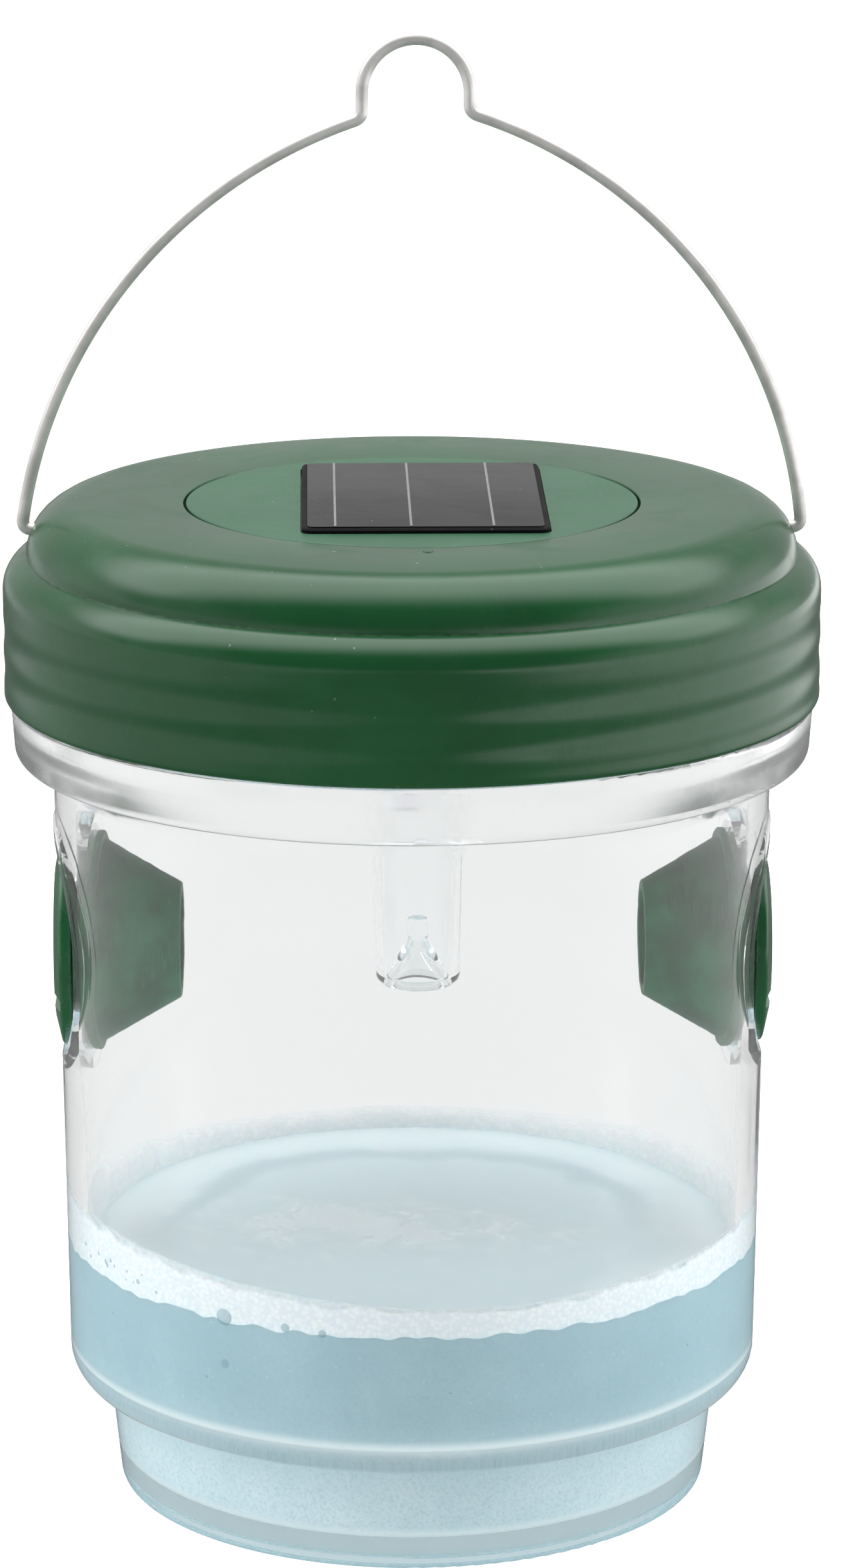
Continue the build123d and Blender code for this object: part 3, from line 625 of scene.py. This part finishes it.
def solar_cell():
    """Dark amorphous film behind a thin clear coat, with the fine scribe lines across the cells, and a
    painted reflection that makes it lighter towards the back.
    """
    made, tree, surface = new_material("cell_film")
    place = put(tree, "ShaderNodeSeparateXYZ", {0: millimetres(tree)})
    marks = use(tree, "handling_marks", Smudge_mm=10.0, Scratches=0.4)
    specks = use(tree, "dust", Amount=0.5, Speck_mm=0.35)["Mask"]
    stretched = put(tree, "ShaderNodeCombineXYZ", {
        0: calc(tree, "MULTIPLY", place.outputs[0], 0.04), 1: calc(tree, "MULTIPLY", place.outputs[1], 5.0),
    })
    lines = put(tree, "ShaderNodeTexNoise", {"Vector": stretched.outputs[0], "Scale": 1.0, "Detail": 3.0})
    streak = ramp(tree, lines.outputs[0], 0.35, 0.65, 0.0, 0.3)
    # painted reflection: the film is painted lighter towards the back (+Y), added to the scribe streaks
    thin = calc(tree, "ADD", streak, ramp(tree, place.outputs[1], -18.0, 18.0, 0.0, 0.7))
    grey = blend_colours(tree, thin, (0.005, 0.005, 0.005, 1), (0.036, 0.036, 0.036, 1))
    dusty = blend_colours(tree, specks, grey, (0.5, 0.5, 0.48, 1))
    rough = calc(tree, "ADD", 0.33, calc(tree, "MULTIPLY", marks["Smudges"], 0.05))
    shader(tree, surface, {
        "Base Color": dusty, "Roughness": rough, "Specular IOR Level": 0.22,
        "Normal": bump(tree, lines.outputs[0], 0.003),
    })
    return made


def circuit():
    """Green solder mask with copper tracks under it."""
    made, tree, surface = new_material("solder_mask")
    place = millimetres(tree)
    tracks = put(tree, "ShaderNodeTexBrick", {
        "Vector": place, "Scale": 0.35, "Mortar Size": 0.03, "Color1": (1, 1, 1, 1), "Color2": (1, 1, 1, 1),
        "Mortar": (0, 0, 0, 1), "Brick Width": 1.3, "Row Height": 0.45,
    })
    grain = use(tree, "moulded_grain", Grain_mm=0.2)
    green = blend_colours(tree, tracks.outputs["Fac"], (0.012, 0.1, 0.03, 1), (0.03, 0.2, 0.06, 1))
    drifted = blend_colours(tree, calc(tree, "MULTIPLY", grain["Drift"], 0.3), green, (0.01, 0.05, 0.02, 1))
    rough = calc(tree, "ADD", 0.25, calc(tree, "MULTIPLY", grain["Drift"], 0.15))
    shader(tree, surface, {
        "Base Color": drifted, "Roughness": rough,
        "Coat Weight": 0.5, "Normal": bump(tree, tracks.outputs["Fac"], 0.03),
    })
    return made


def bait_water():
    """Cloudy pale blue bait: sediment flecks, painted light that makes it paler in the foot and darker up
    the belly, a painted light underside, a painted shadow arc at the back of its surface, and foam haze on
    its surface.
    """
    made, tree, surface = new_material("bait_water")
    place = millimetres(tree)
    x, y, z = put(tree, "ShaderNodeSeparateXYZ", {0: place}).outputs
    # painted light: the bait is painted paler in the foot and darker up the belly
    belly = ramp(tree, z, 8.0, 27.0)
    body = blend_colours(tree, belly, (0.67, 0.82, 0.87, 1), (0.35, 0.52, 0.58, 1))
    cloud = put(tree, "ShaderNodeTexNoise", {
        "Vector": place, "Scale": 0.06, "Detail": 4.0, "Roughness": 0.55,
    })
    haze = ramp(tree, cloud.outputs[0], 0.35, 0.7, 0, 0.35)
    clouded = blend_colours(tree, haze, body, (0.46, 0.64, 0.7, 1))
    silt = put(tree, "ShaderNodeTexNoise", {"Vector": place, "Scale": 1.8, "Detail": 5.0, "Roughness": 0.8})
    grit = ramp(tree, silt.outputs[0], 0.42, 0.72, 0, 0.45)
    silted = blend_colours(tree, grit, clouded, (0.27, 0.43, 0.5, 1))
    flecks = put(tree, "ShaderNodeTexVoronoi", {"Vector": place, "Scale": 0.5})
    fleck = ramp(tree, flecks.outputs["Distance"], 0.0, 0.12, 0.5, 0)
    flecked = blend_colours(tree, fleck, silted, (0.62, 0.78, 0.82, 1))

    flat = put(tree, "ShaderNodeCombineXYZ", {0: x, 1: y}).outputs[0]
    reach = put(tree, "ShaderNodeVectorMath", {0: flat}, operation="LENGTH").outputs["Value"]
    wobble = put(tree, "ShaderNodeTexNoise", {"Vector": flat, "Scale": 0.045, "Detail": 5.0})
    sway = calc(tree, "MULTIPLY", calc(tree, "SUBTRACT", wobble.outputs[0], 0.5), 14.0)
    ring = calc(tree, "ADD", reach, sway)
    film = blend_colours(tree, ramp(tree, ring, 36.0, 48.0), (0.6, 0.73, 0.79, 1), (0.76, 0.85, 0.89, 1))
    shadow_ring = calc(tree, "ABSOLUTE", calc(tree, "SUBTRACT", ring, 37.0))
    back_half = ramp(tree, y, -5.0, 18.0)
    arc_mask = calc(tree, "MULTIPLY", ramp(tree, shadow_ring, 0.5, 4.0, 0.55, 0), back_half)
    ringed = blend_colours(tree, arc_mask, film, (0.42, 0.54, 0.6, 1))
    drift = put(tree, "ShaderNodeMapping", {
        "Vector": flat, "Location": (0.3, 0.05, 0), "Scale": (0.045, 0.085, 1),
    })
    spread = put(tree, "ShaderNodeVectorMath", {0: drift.outputs[0]}, operation="LENGTH")
    off_centre = spread.outputs["Value"]
    torn = put(tree, "ShaderNodeTexNoise", {
        "Vector": flat, "Scale": 0.11, "Detail": 8.0, "Roughness": 0.62, "Distortion": 0.6,
    })
    raft = calc(tree, "SUBTRACT", torn.outputs[0], calc(tree, "MULTIPLY", off_centre, 0.22))
    foam = ramp(tree, raft, 0.16, 0.56, 0, 0.7)
    foamed = blend_colours(tree, foam, ringed, (0.8, 0.86, 0.89, 1))
    on_top = ramp(tree, z, LEVEL / MM - 0.75, LEVEL / MM - 0.5)
    side_colour = blend_colours(tree, on_top, flecked, foamed)
    facing = put(tree, "ShaderNodeSeparateXYZ", {0: put(tree, "ShaderNodeNewGeometry").outputs["Normal"]})
    # painted light: faces that look down are painted pale, as if lit from the floor below
    painted_underside_light = ramp(tree, facing.outputs[2], -0.2, -0.85)
    colour = blend_colours(tree, painted_underside_light, side_colour, (0.82, 0.95, 0.98, 1))
    ripple = put(tree, "ShaderNodeTexNoise", {"Vector": flat, "Scale": 0.12, "Detail": 3.0})
    shine = blend_colours(tree, foam, (0.12, 0.12, 0.12, 1), (0.5, 0.5, 0.5, 1))
    rough = blend_colours(tree, on_top, (0.5, 0.5, 0.5, 1), shine)
    low_foam = calc(tree, "MULTIPLY", foam, 0.2)
    height = calc(tree, "ADD", calc(tree, "MULTIPLY", ripple.outputs[0], 0.4), low_foam)
    shader(tree, surface, {
        "Base Color": colour, "Roughness": rough, "Specular IOR Level": 0.3, "Subsurface Weight": 0.3,
        "Subsurface Radius": (0.5, 1.0, 1.1), "Subsurface Scale": 4 * MM,
        "Normal": bump(tree, height, 0.3),
    })
    return made


def froth():
    """White froth that thins out towards its upper edge. U says how thin it is, V the height up it."""
    made, tree, surface = new_material("froth")
    place = millimetres(tree)
    spread = put(tree, "ShaderNodeSeparateXYZ", {0: put(tree, "ShaderNodeTexCoord").outputs["UV"]})
    thin, up = spread.outputs[0], spread.outputs[1]
    cells = put(tree, "ShaderNodeTexVoronoi", {"Vector": place, "Scale": 1.3})
    patches = put(tree, "ShaderNodeTexNoise", {
        "Vector": place, "Scale": 0.18, "Detail": 4.0, "Roughness": 0.55,
    })
    ragged = calc(tree, "MULTIPLY", calc(tree, "SUBTRACT", patches.outputs[0], 0.5), 0.5)
    worn = calc(tree, "ADD", up, ragged)
    white = blend_colours(
        tree, ramp(tree, cells.outputs["Distance"], 0.2, 0.7), (0.86, 0.93, 0.96, 1), (0.76, 0.86, 0.9, 1)
    )
    dense = ramp(tree, worn, 0.75, 1.0, 0.97, 0.25)
    hazy = ramp(tree, worn, 0.1, 1.0, 0.62, 0.12)
    cover = calc(tree, "ADD", calc(tree, "MULTIPLY", hazy, thin),
                 calc(tree, "MULTIPLY", dense, calc(tree, "SUBTRACT", 1.0, thin)))
    edge = ramp(tree, up, 0.9, 1.0, 1.0, 0.0)
    shader(tree, surface, {
        "Base Color": white, "Roughness": 0.45, "Subsurface Weight": 0.25, "Subsurface Scale": 1.0 * MM,
        "Alpha": calc(tree, "MULTIPLY", cover, edge), "Normal": bump(tree, cells.outputs["Distance"], 0.06),
    })
    return made


def bubble_film():
    """Thin wet skin of a bubble: clear in the middle, with painted shade that makes it darker where it
    turns away.
    """
    made, tree, surface = new_material("bubble_film")
    # painted shade: the bubble is painted darker and more opaque where it turns away from view
    away = put(tree, "ShaderNodeLayerWeight", {"Blend": 0.35}).outputs["Facing"]
    grain = use(tree, "moulded_grain", Grain_mm=0.6)
    painted_rim_shade = blend_colours(tree, grain["Drift"], (0.3, 0.5, 0.57, 1), (0.4, 0.6, 0.66, 1))
    shader(tree, surface, {
        "Base Color": painted_rim_shade, "Roughness": 0.08, "IOR": 1.33,
        "Alpha": ramp(tree, away, 0.1, 0.8, 0.35, 0.95), "Normal": bump(tree, grain["Height"], 0.01),
    })
    return made


def lamp_epoxy():
    """Water-clear LED epoxy with a trace of violet."""
    return clear_plastic("lamp_epoxy", (0.86, 0.84, 0.95), 0.04, ripple_depth=0.01, ripple_mm=2.0, ior=1.53)


GREEN_WORN = (0.16, 0.27, 0.17)

materials = {
    "clear_plastic": clear_plastic("jar_clear", (0.97, 0.98, 0.98), 0.0, ior=1.27, frost_from=FROST_FROM),
    "lid_green": moulded_plastic(
        "lid_green", (0.007, 0.058, 0.018), GREEN_WORN, 0.18, grain_depth=0.003, scratches=0.12, drift=0.1
    ),
    "disc_green": moulded_plastic(
        "disc_green", (0.022, 0.085, 0.042), GREEN_WORN, 0.36, grain_mm=0.5, grain_depth=0.006
    ),
    "entry_green": moulded_plastic(
        "entry_green", (0.007, 0.08, 0.026), GREEN_WORN, 0.25, grain_depth=0.003, coat=0.2, drift=0.2
    ),
    "cone_green": moulded_plastic(
        "cone_green", (0.012, 0.09, 0.037), (0.16, 0.27, 0.2), 0.5, grain_depth=0.001, drift=0.35,
        drift_mm=9.0, dust=0.25, scratches=0.9, gloss=0.12
    ),
    "seal_rubber": moulded_plastic(
        "seal_rubber", (0.03, 0.03, 0.032), (0.1, 0.1, 0.1), 0.7, grain_depth=0.015
    ),
    "panel_black": moulded_plastic(
        "panel_black", (0.004, 0.004, 0.005), (0.03, 0.03, 0.03), 0.55, dust=0.2, gloss=0.08
    ),
    "cell_grey": solar_cell(),
    "silver_line": metal(
        "silver_line", (0.4, 0.4, 0.41), (0.25, 0.25, 0.25), 0.45, line_mm=0.05, stretch=1.0
    ),
    "steel_wire": metal(
        "steel_wire", (0.86, 0.85, 0.83), (0.4, 0.39, 0.38), 0.3, line_mm=0.22, stretch=80.0,
        depth=0.02, metallic=0.6, wire_radius=WIRE_RADIUS,
    ),
    "lamp_epoxy": lamp_epoxy(),
    "housing_green": moulded_plastic("housing_green", (0.02, 0.095, 0.04), GREEN_WORN, 0.4),
    "board_green": circuit(),
    "black_plastic": moulded_plastic("black_plastic", (0.012, 0.012, 0.013), (0.12, 0.12, 0.12), 0.45),
    "screw_steel": metal("screw_steel", (0.62, 0.61, 0.58), (0.35, 0.34, 0.32), 0.28, stretch=2.0),
    "contact_nickel": metal("contact_nickel", (0.72, 0.69, 0.63), (0.5, 0.46, 0.4), 0.22, stretch=8.0),
    "cell_sleeve": moulded_plastic("cell_sleeve", (0.03, 0.16, 0.07), (0.4, 0.4, 0.4), 0.25, coat=0.5),
    "ferrite": moulded_plastic("ferrite", (0.035, 0.032, 0.03), (0.2, 0.2, 0.2), 0.6, grain_depth=0.02),
    "red_insulation": moulded_plastic("red_insulation", (0.45, 0.02, 0.015), (0.6, 0.2, 0.2), 0.35),
    "black_insulation": moulded_plastic(
        "black_insulation", (0.014, 0.014, 0.015), (0.15, 0.15, 0.15), 0.35
    ),
    "bait": bait_water(),
}
materials["froth"] = froth()
materials["bubble_film"] = bubble_film()


def dress(piece, material):
    """Gives a new piece its finish."""
    piece.data.materials.clear()
    piece.data.materials.append(materials[material])
    return piece


for node in nodes.values():
    for holder in node.material_slots:
        holder.material = materials[holder.material.name.split(".")[0]]


# ---------------------------------------------------------------- lid

def skirt_sink(radius, height, angle):
    """Draws the skirt in a little where the thread inside it shrank."""
    if radius < SKIRT_RADIUS / MM - 0.01 or not SINK_LOW < height < SINK_HIGH:
        return radius, height
    phase = 2 * math.pi * height / THREAD_PITCH - angle
    fade = math.sin(math.pi * (height - SINK_LOW) / (SINK_HIGH - SINK_LOW)) ** 0.5
    return radius - SINK_DEPTH * fade * (0.5 + 0.5 * math.sin(phase)), height


def make_lid():
    """Lid shell: skirt, shoulder, raised tier and the seat of the solar disc."""
    skirt = SKIRT_RADIUS / MM
    bottom = SKIRT_BOTTOM / MM
    top = LID_TOP / MM
    outline = rounded([
        (skirt, bottom, 0.7),
        (skirt, 146.7, 5.2),
        (TIER_RADIUS, 147.92, 0),
        (TIER_RADIUS, top, 7.7),
        (GROOVE_RADIUS, top, 0.3),
        (GROOVE_RADIUS, top - 2.0, 0),
        (DISC_BORE, top - 2.0, 0),
        (DISC_BORE, DECK_UNDERSIDE - 2.0, 0),
        (38.0, DECK_UNDERSIDE - 2.0, 0.4),
        (38.8, DECK_UNDERSIDE, 0.8),
        (TIER_BORE, DECK_UNDERSIDE, 5.2),
        (TIER_BORE, 144.5, 0.5),
        (SKIRT_BORE, 144.5, 2.0),
        (SKIRT_BORE, bottom, 0.5),
    ], steps=10)
    rippled = split_run(outline, SKIRT_BORE + 0.1, SINK_LOW, SINK_HIGH, 26)
    return lathe("lid_shell", rippled, 288, shift=skirt_sink, sharp_angle=38)


def bail_hole(side):
    """Hole through the tier wall that flares outwards, so that the bent wire can swing."""
    outline = [(51.0, 0), (51.0, 1.035), (57.2, 1.035), (61.0, 4.0), (61.0, 0)]
    return turned_level(outline, side, PIVOT_HEIGHT)


lid_shell = dress(cut(make_lid(), [bail_hole(-1), bail_hole(1)], 38), "lid_green")
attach(lid_shell, "lid")
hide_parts("lid")

gate = [(0, 155.5, 0), (0.8, 155.5, 0), (0.8, 155.85, 0.2), (0, 155.82, 0)]
for piece in (
    thread("lid_thread", SKIRT_BORE, 58.3, 128.45, 1.0),
    lathe("gate_mark", rounded(gate, 4), 32, centre=(1.7, -37.4)),
):
    dress(piece, "lid_green")
    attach(piece, "lid")


# ---------------------------------------------------------------- bail

def make_bail():
    """One bent wire: a pin into the lid at each end, two bowed arms and a round hanging loop."""
    wire_low, wire_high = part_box("bail")
    pivot_z = wire_low.z / MM + WIRE_RADIUS
    loop_top = wire_high.z / MM - WIRE_RADIUS
    loop_x, loop_radius = 0.6, 8.1
    arm_steps = 48
    loop_z = loop_top - loop_radius
    left, right = (-59.5, pivot_z), (59.5, pivot_z)
    left_kink, right_kink = (-7.5, 214.1), (8.7, 214.9)
    path = [(-52.5, pivot_z)]
    path += arc(left, (-47.7, 183.3), left_kink, arm_steps)
    loop_left, loop_right = (loop_x - loop_radius, loop_z), (loop_x + loop_radius, loop_z)
    path += arc(loop_left, (loop_x, loop_top), loop_right, arm_steps)
    path += arc(right_kink, (49.1, 183.3), right, arm_steps)
    path += [(52.5, pivot_z)]
    bends = (1, arm_steps + 1, len(path) - arm_steps - 2, len(path) - 2)
    smooth = round_corners(path, [path[i] for i in bends], 1.8)
    return tube("bail_wire", [(x, 0, z) for x, z in smooth], WIRE_RADIUS)


bail_wire = dress(make_bail(), "steel_wire")
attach(bail_wire, "bail")
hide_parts("bail")


# ---------------------------------------------------------------- bait, froth and bubbles

def wall_radius(height):
    """Inner radius of the jar's belly at a height, mm."""
    return HEEL_RADIUS + (height - HEEL_HEIGHT) * BELLY_SLOPE


def make_bait():
    """Body of bait that fills the foot and the belly, with an edge that climbs the wall a little."""
    level = LEVEL / MM
    foot = liquid_low.z / MM - 0.1 - WETTING
    heel = HEEL_HEIGHT - WETTING
    edge = wall_radius(level)
    flat = level - 0.4
    outline = rounded([
        (0, foot, 0),
        (FOOT_RADIUS + WETTING, foot, 3.0),
        (FOOT_TOP_RADIUS + WETTING, heel, 2.5),
        (HEEL_RADIUS + WETTING, heel, 3.5),
        (edge + WETTING, level, 0),
        (edge - 0.9, level - 0.32, 0.6),
        (edge - 4.0, flat, 3.0),
        (0, flat, 0),
    ], steps=8)
    return lathe("bait_pool", outline, 240, sharp_angle=40)


bait_pool = dress(make_bait(), "bait")
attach(bait_pool, "jar")
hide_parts("bait_liquid")


def froth_height(angle):
    """How far the froth clings up the wall, mm: low in front, higher at the sides and on the left."""
    side = abs(math.cos(angle))
    left = max(0.0, -math.cos(angle - 0.5))
    wave = noise.noise(Vector((math.cos(angle) * 2, math.sin(angle) * 2, 0.7)))
    return 4.1 + 3.2 * side**3 + 2.0 * left**2 + 0.5 * wave


def froth_thinness(angle):
    """0 where the froth is dense, in front, and 1 where it is a thin haze, at the back."""
    back = (math.sin(angle) + 0.35) / 0.6
    return max(0.0, min(1.0, back))


def make_froth():
    """Band of froth on the jar's wall: an outer skin, a lumpy inner skin and two closing edges."""
    columns, rows = 480, 10
    level = LEVEL / MM
    bm = bmesh.new()
    uv = bm.loops.layers.uv.new("tide")
    skins = []
    for inner in (False, True):
        skin = []
        for row in range(rows + 1):
            share = row / rows
            ring = []
            for column in range(columns):
                angle = 2 * math.pi * column / columns
                across, ahead = math.cos(angle), math.sin(angle)
                ragged = 0.9 * noise.noise(Vector((across * 16, ahead * 16, 2.0)))
                height = level - 0.9 + ragged * (1 - share) + (froth_height(angle) + 0.45) * share
                depth = -1.6 * WETTING
                if inner:
                    lumps = noise.noise(Vector((across * 45, ahead * 45, height * 1.1)))
                    depth = 0.1 + 0.6 * (1 - share) ** 0.5 * (1 + 0.35 * lumps)
                radius = wall_radius(height) - depth
                ring.append(bm.verts.new(Vector((radius * across, radius * ahead, height)) * MM))
            skin.append(ring)
        skins.append(skin)

    def panel(a, b, low, high):
        for column in range(columns):
            following = (column + 1) % columns
            face = bm.faces.new((a[column], a[following], b[following], b[column]))
            spots = ((column, low), (column + 1, low), (column + 1, high), (column, high))
            for loop, (place, share) in zip(face.loops, spots):
                loop[uv].uv = (froth_thinness(2 * math.pi * place / columns), share)

    for skin in skins:
        for row in range(rows):
            panel(skin[row], skin[row + 1], row / rows, (row + 1) / rows)
    panel(skins[0][0], skins[1][0], 0, 0)
    panel(skins[0][-1], skins[1][-1], 1, 1)
    bmesh.ops.recalc_face_normals(bm, faces=bm.faces)
    mesh = keep_mesh(bm, "froth_ring")
    return finish_mesh("froth_ring", mesh, 60)


BUBBLE_DEPTH = 0.25       # how far a bubble's middle is from the wall, in its own radii
BUBBLE_SQUEEZE = 0.45     # a bubble lies flat against the wall


def make_bubbles():
    """Bubbles at the tide line, most of them front left, and a few lower down.
    Each is (degrees round from the front, mm above the level, radius in mm)."""
    chance = random.Random(7)
    level = LEVEL / MM
    places = [(-34, -0.3, 1.7), (-22.5, -0.4, 0.95), (-16, -0.7, 0.85), (-34, -7.8, 0.9)]
    for k in range(16):
        turn = -44 - 18 * chance.random() * chance.random() - 1.6 * k
        rise = 0.4 + 2.4 * chance.random()
        places.append((turn, rise, chance.uniform(0.3, 0.75)))
    for _ in range(9):
        turn = chance.uniform(-70, 60)
        rise = chance.uniform(-16, -2)
        places.append((turn, rise, chance.uniform(0.15, 0.4)))
    bm = bmesh.new()
    for turn, rise, radius in places:
        angle = math.radians(turn - 90)
        height = level + rise
        reach = wall_radius(height) - BUBBLE_DEPTH * radius
        ball = bmesh.ops.create_icosphere(bm, subdivisions=3, radius=radius * MM)["verts"]
        squeeze = Matrix.Diagonal((BUBBLE_SQUEEZE, 1, 1, 1))
        spot = Matrix.Translation((reach * MM, 0, height * MM))
        bmesh.ops.transform(bm, matrix=Matrix.Rotation(angle, 4, "Z") @ spot @ squeeze, verts=ball)
    return finish_mesh("bubbles", keep_mesh(bm, "bubbles"), 60)


for piece, finish in ((make_froth(), "froth"), (make_bubbles(), "bubble_film")):
    dress(piece, finish)
    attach(piece, "jar")


# ---------------------------------------------------------------- floor, light and camera

def make_floor():
    """White paper floor, darker in reflections except at its far left and right."""
    bm = bmesh.new()
    bmesh.ops.create_grid(bm, x_segments=24, y_segments=24, size=3.0)
    for vertex in bm.verts:
        vertex.co.z = -0.02 * MM
    mesh = keep_mesh(bm, "floor")
    floor = finish_mesh("floor", mesh)
    made, tree, surface = new_material("floor_white")
    paper = use(tree, "moulded_grain", Grain_mm=1.5)
    rays = put(tree, "ShaderNodeLightPath").outputs
    glossy = rays["Is Glossy Ray"]
    texture = calc(tree, "MULTIPLY", paper["Drift"], 0.1)
    white = blend_colours(tree, texture, (0.8, 0.8, 0.8, 1), (0.77, 0.78, 0.78, 1))
    through = calc(tree, "MINIMUM", rays["Transmission Depth"], 1.0)
    grey = blend_colours(tree, through, (0.12, 0.12, 0.12, 1), (0.1, 0.1, 0.1, 1))
    dim = blend_colours(tree, calc(tree, "MAXIMUM", glossy, through), white, grey)
    paint = put(tree, "ShaderNodeBsdfDiffuse", {"Color": dim})
    spot = put(tree, "ShaderNodeNewGeometry").outputs["Position"]
    across, ahead, _ = put(tree, "ShaderNodeSeparateXYZ", {0: spot}).outputs
    beyond = ramp(tree, ahead, -0.3, -0.05, 0.6, SEEN_THROUGH - 0.05)
    flank = ramp(tree, calc(tree, "ABSOLUTE", across), 0.28, 0.58)
    side_glow = calc(tree, "MULTIPLY", flank, ramp(tree, across, -0.4, 0.4, 0.6, 1.6))
    lit = calc(tree, "MINIMUM", rays["Diffuse Depth"], 1.0)
    behind = put(tree, "ShaderNodeMix", {0: lit, 2: beyond, 3: 0.85}).outputs[0]
    glow_strength = calc(tree, "ADD", calc(tree, "MULTIPLY", rays["Is Camera Ray"], 0.8),
                         calc(tree, "MULTIPLY", through, behind))
    glow_strength = calc(tree, "ADD", glow_strength, calc(tree, "MULTIPLY", glossy, side_glow))
    glow = put(tree, "ShaderNodeEmission", {"Color": (1, 1, 1, 1), "Strength": glow_strength})
    both = put(tree, "ShaderNodeAddShader", {0: paint.outputs[0], 1: glow.outputs[0]})
    tree.links.new(both.outputs[0], surface)
    mesh.materials.append(made)


def make_world():
    """White to the eye and soft all round for light. For reflections it has a dark front, a bright
    back, a strip light overhead and glowing sides."""
    world = bpy.data.worlds.new("studio")
    scene.world = world
    world.use_nodes = True
    tree = world.node_tree
    tree.nodes.clear()
    way = put(tree, "ShaderNodeSeparateXYZ", {0: put(tree, "ShaderNodeTexCoord").outputs["Generated"]})
    x, y, z = way.outputs
    rays = put(tree, "ShaderNodeLightPath").outputs
    rise = calc(tree, "ARCTAN2", z, y)
    low_back = ramp(tree, rise, math.radians(85), math.radians(40), 0.035, 0.54)
    overhead = calc(tree, "MULTIPLY", ramp(tree, rise, math.radians(38), math.radians(62)),
                    ramp(tree, rise, math.radians(92), math.radians(138), 1.0, 0.0))
    overhead = calc(tree, "MULTIPLY", overhead, ramp(tree, z, 0.15, 0.5))
    level = ramp(tree, calc(tree, "ABSOLUTE", z), 0.15, 0.6, 1.0, 0.0)
    left_side = ramp(tree, x, -0.6, -0.98, 0.0, 0.45)
    right_side = ramp(tree, x, 0.6, 0.98, 0.0, 1.1)
    sides = calc(tree, "MULTIPLY", calc(tree, "ADD", left_side, right_side), level)
    strip = calc(tree, "MULTIPLY", overhead, 3.0)
    mirrored = calc(tree, "ADD", low_back, calc(tree, "ADD", strip, sides))
    soft = ramp(tree, z, -0.1, 1.0, 0.75, 1.0)
    through = calc(tree, "MINIMUM", rays["Transmission Depth"], 1.0)
    beyond = ramp(tree, y, -0.35, 0.25, 0.6, SEEN_THROUGH)
    direct = put(tree, "ShaderNodeMix", {0: rays["Is Glossy Ray"], 2: soft, 3: mirrored}).outputs[0]
    clear = put(tree, "ShaderNodeMix", {0: through, 2: direct, 3: beyond}).outputs[0]
    lit = calc(tree, "MINIMUM", rays["Diffuse Depth"], through)
    inside = put(tree, "ShaderNodeMix", {0: lit, 2: clear, 3: 1.15}).outputs[0]
    strength = put(tree, "ShaderNodeMix", {0: rays["Is Camera Ray"], 2: inside, 3: 1.05}).outputs[0]
    light = put(tree, "ShaderNodeBackground", {"Color": (1, 1, 1, 1), "Strength": strength})
    output = tree.nodes.new("ShaderNodeOutputWorld")
    tree.links.new(light.outputs[0], output.inputs["Surface"])


def soft_box(name, place, size, power):
    """Rectangular soft light aimed at the middle of the trap."""
    lamp = bpy.data.lights.new(name, "AREA")
    lamp.shape = "RECTANGLE"
    lamp.size, lamp.size_y = size
    lamp.energy = power
    holder = bpy.data.objects.new(name, lamp)
    holder.location = place
    aim = Vector((0, 0, 0.11)) - Vector(place)
    holder.rotation_euler = aim.to_track_quat("-Z", "Y").to_euler()
    holder.visible_glossy = False
    scene.collection.objects.link(holder)


def make_camera():
    """Long lens, a little above the trap and looking down on the lid."""
    tilt = math.radians(90 - 14.296)
    turn = math.radians(-1.0)
    distance = 0.86654
    camera = bpy.data.cameras.new("camera")
    camera.lens = 133.07
    camera.sensor_width = 36.0
    camera.shift_x = 0.0093
    camera.dof.use_dof = False
    holder = bpy.data.objects.new("camera", camera)
    holder.location = (distance * math.sin(turn), -distance * math.cos(turn), 0.33189)
    holder.rotation_euler = (tilt, 0, turn)
    scene.collection.objects.link(holder)
    scene.camera = holder


make_floor()
make_world()
soft_box("top_box", (0.0, 0.1, 1.1), (0.9, 0.6), 9.0)
soft_box("left_box", (-0.9, -0.1, 0.45), (0.25, 0.8), 2.5)
soft_box("right_box", (0.95, 0.0, 0.45), (0.25, 0.8), 2.5)
make_camera()

scene.view_settings.view_transform = "Standard"
scene.cycles.max_bounces = 24
scene.cycles.transmission_bounces = 20
scene.cycles.transparent_max_bounces = 24
scene.cycles.glossy_bounces = 8
scene.cycles.diffuse_bounces = 4
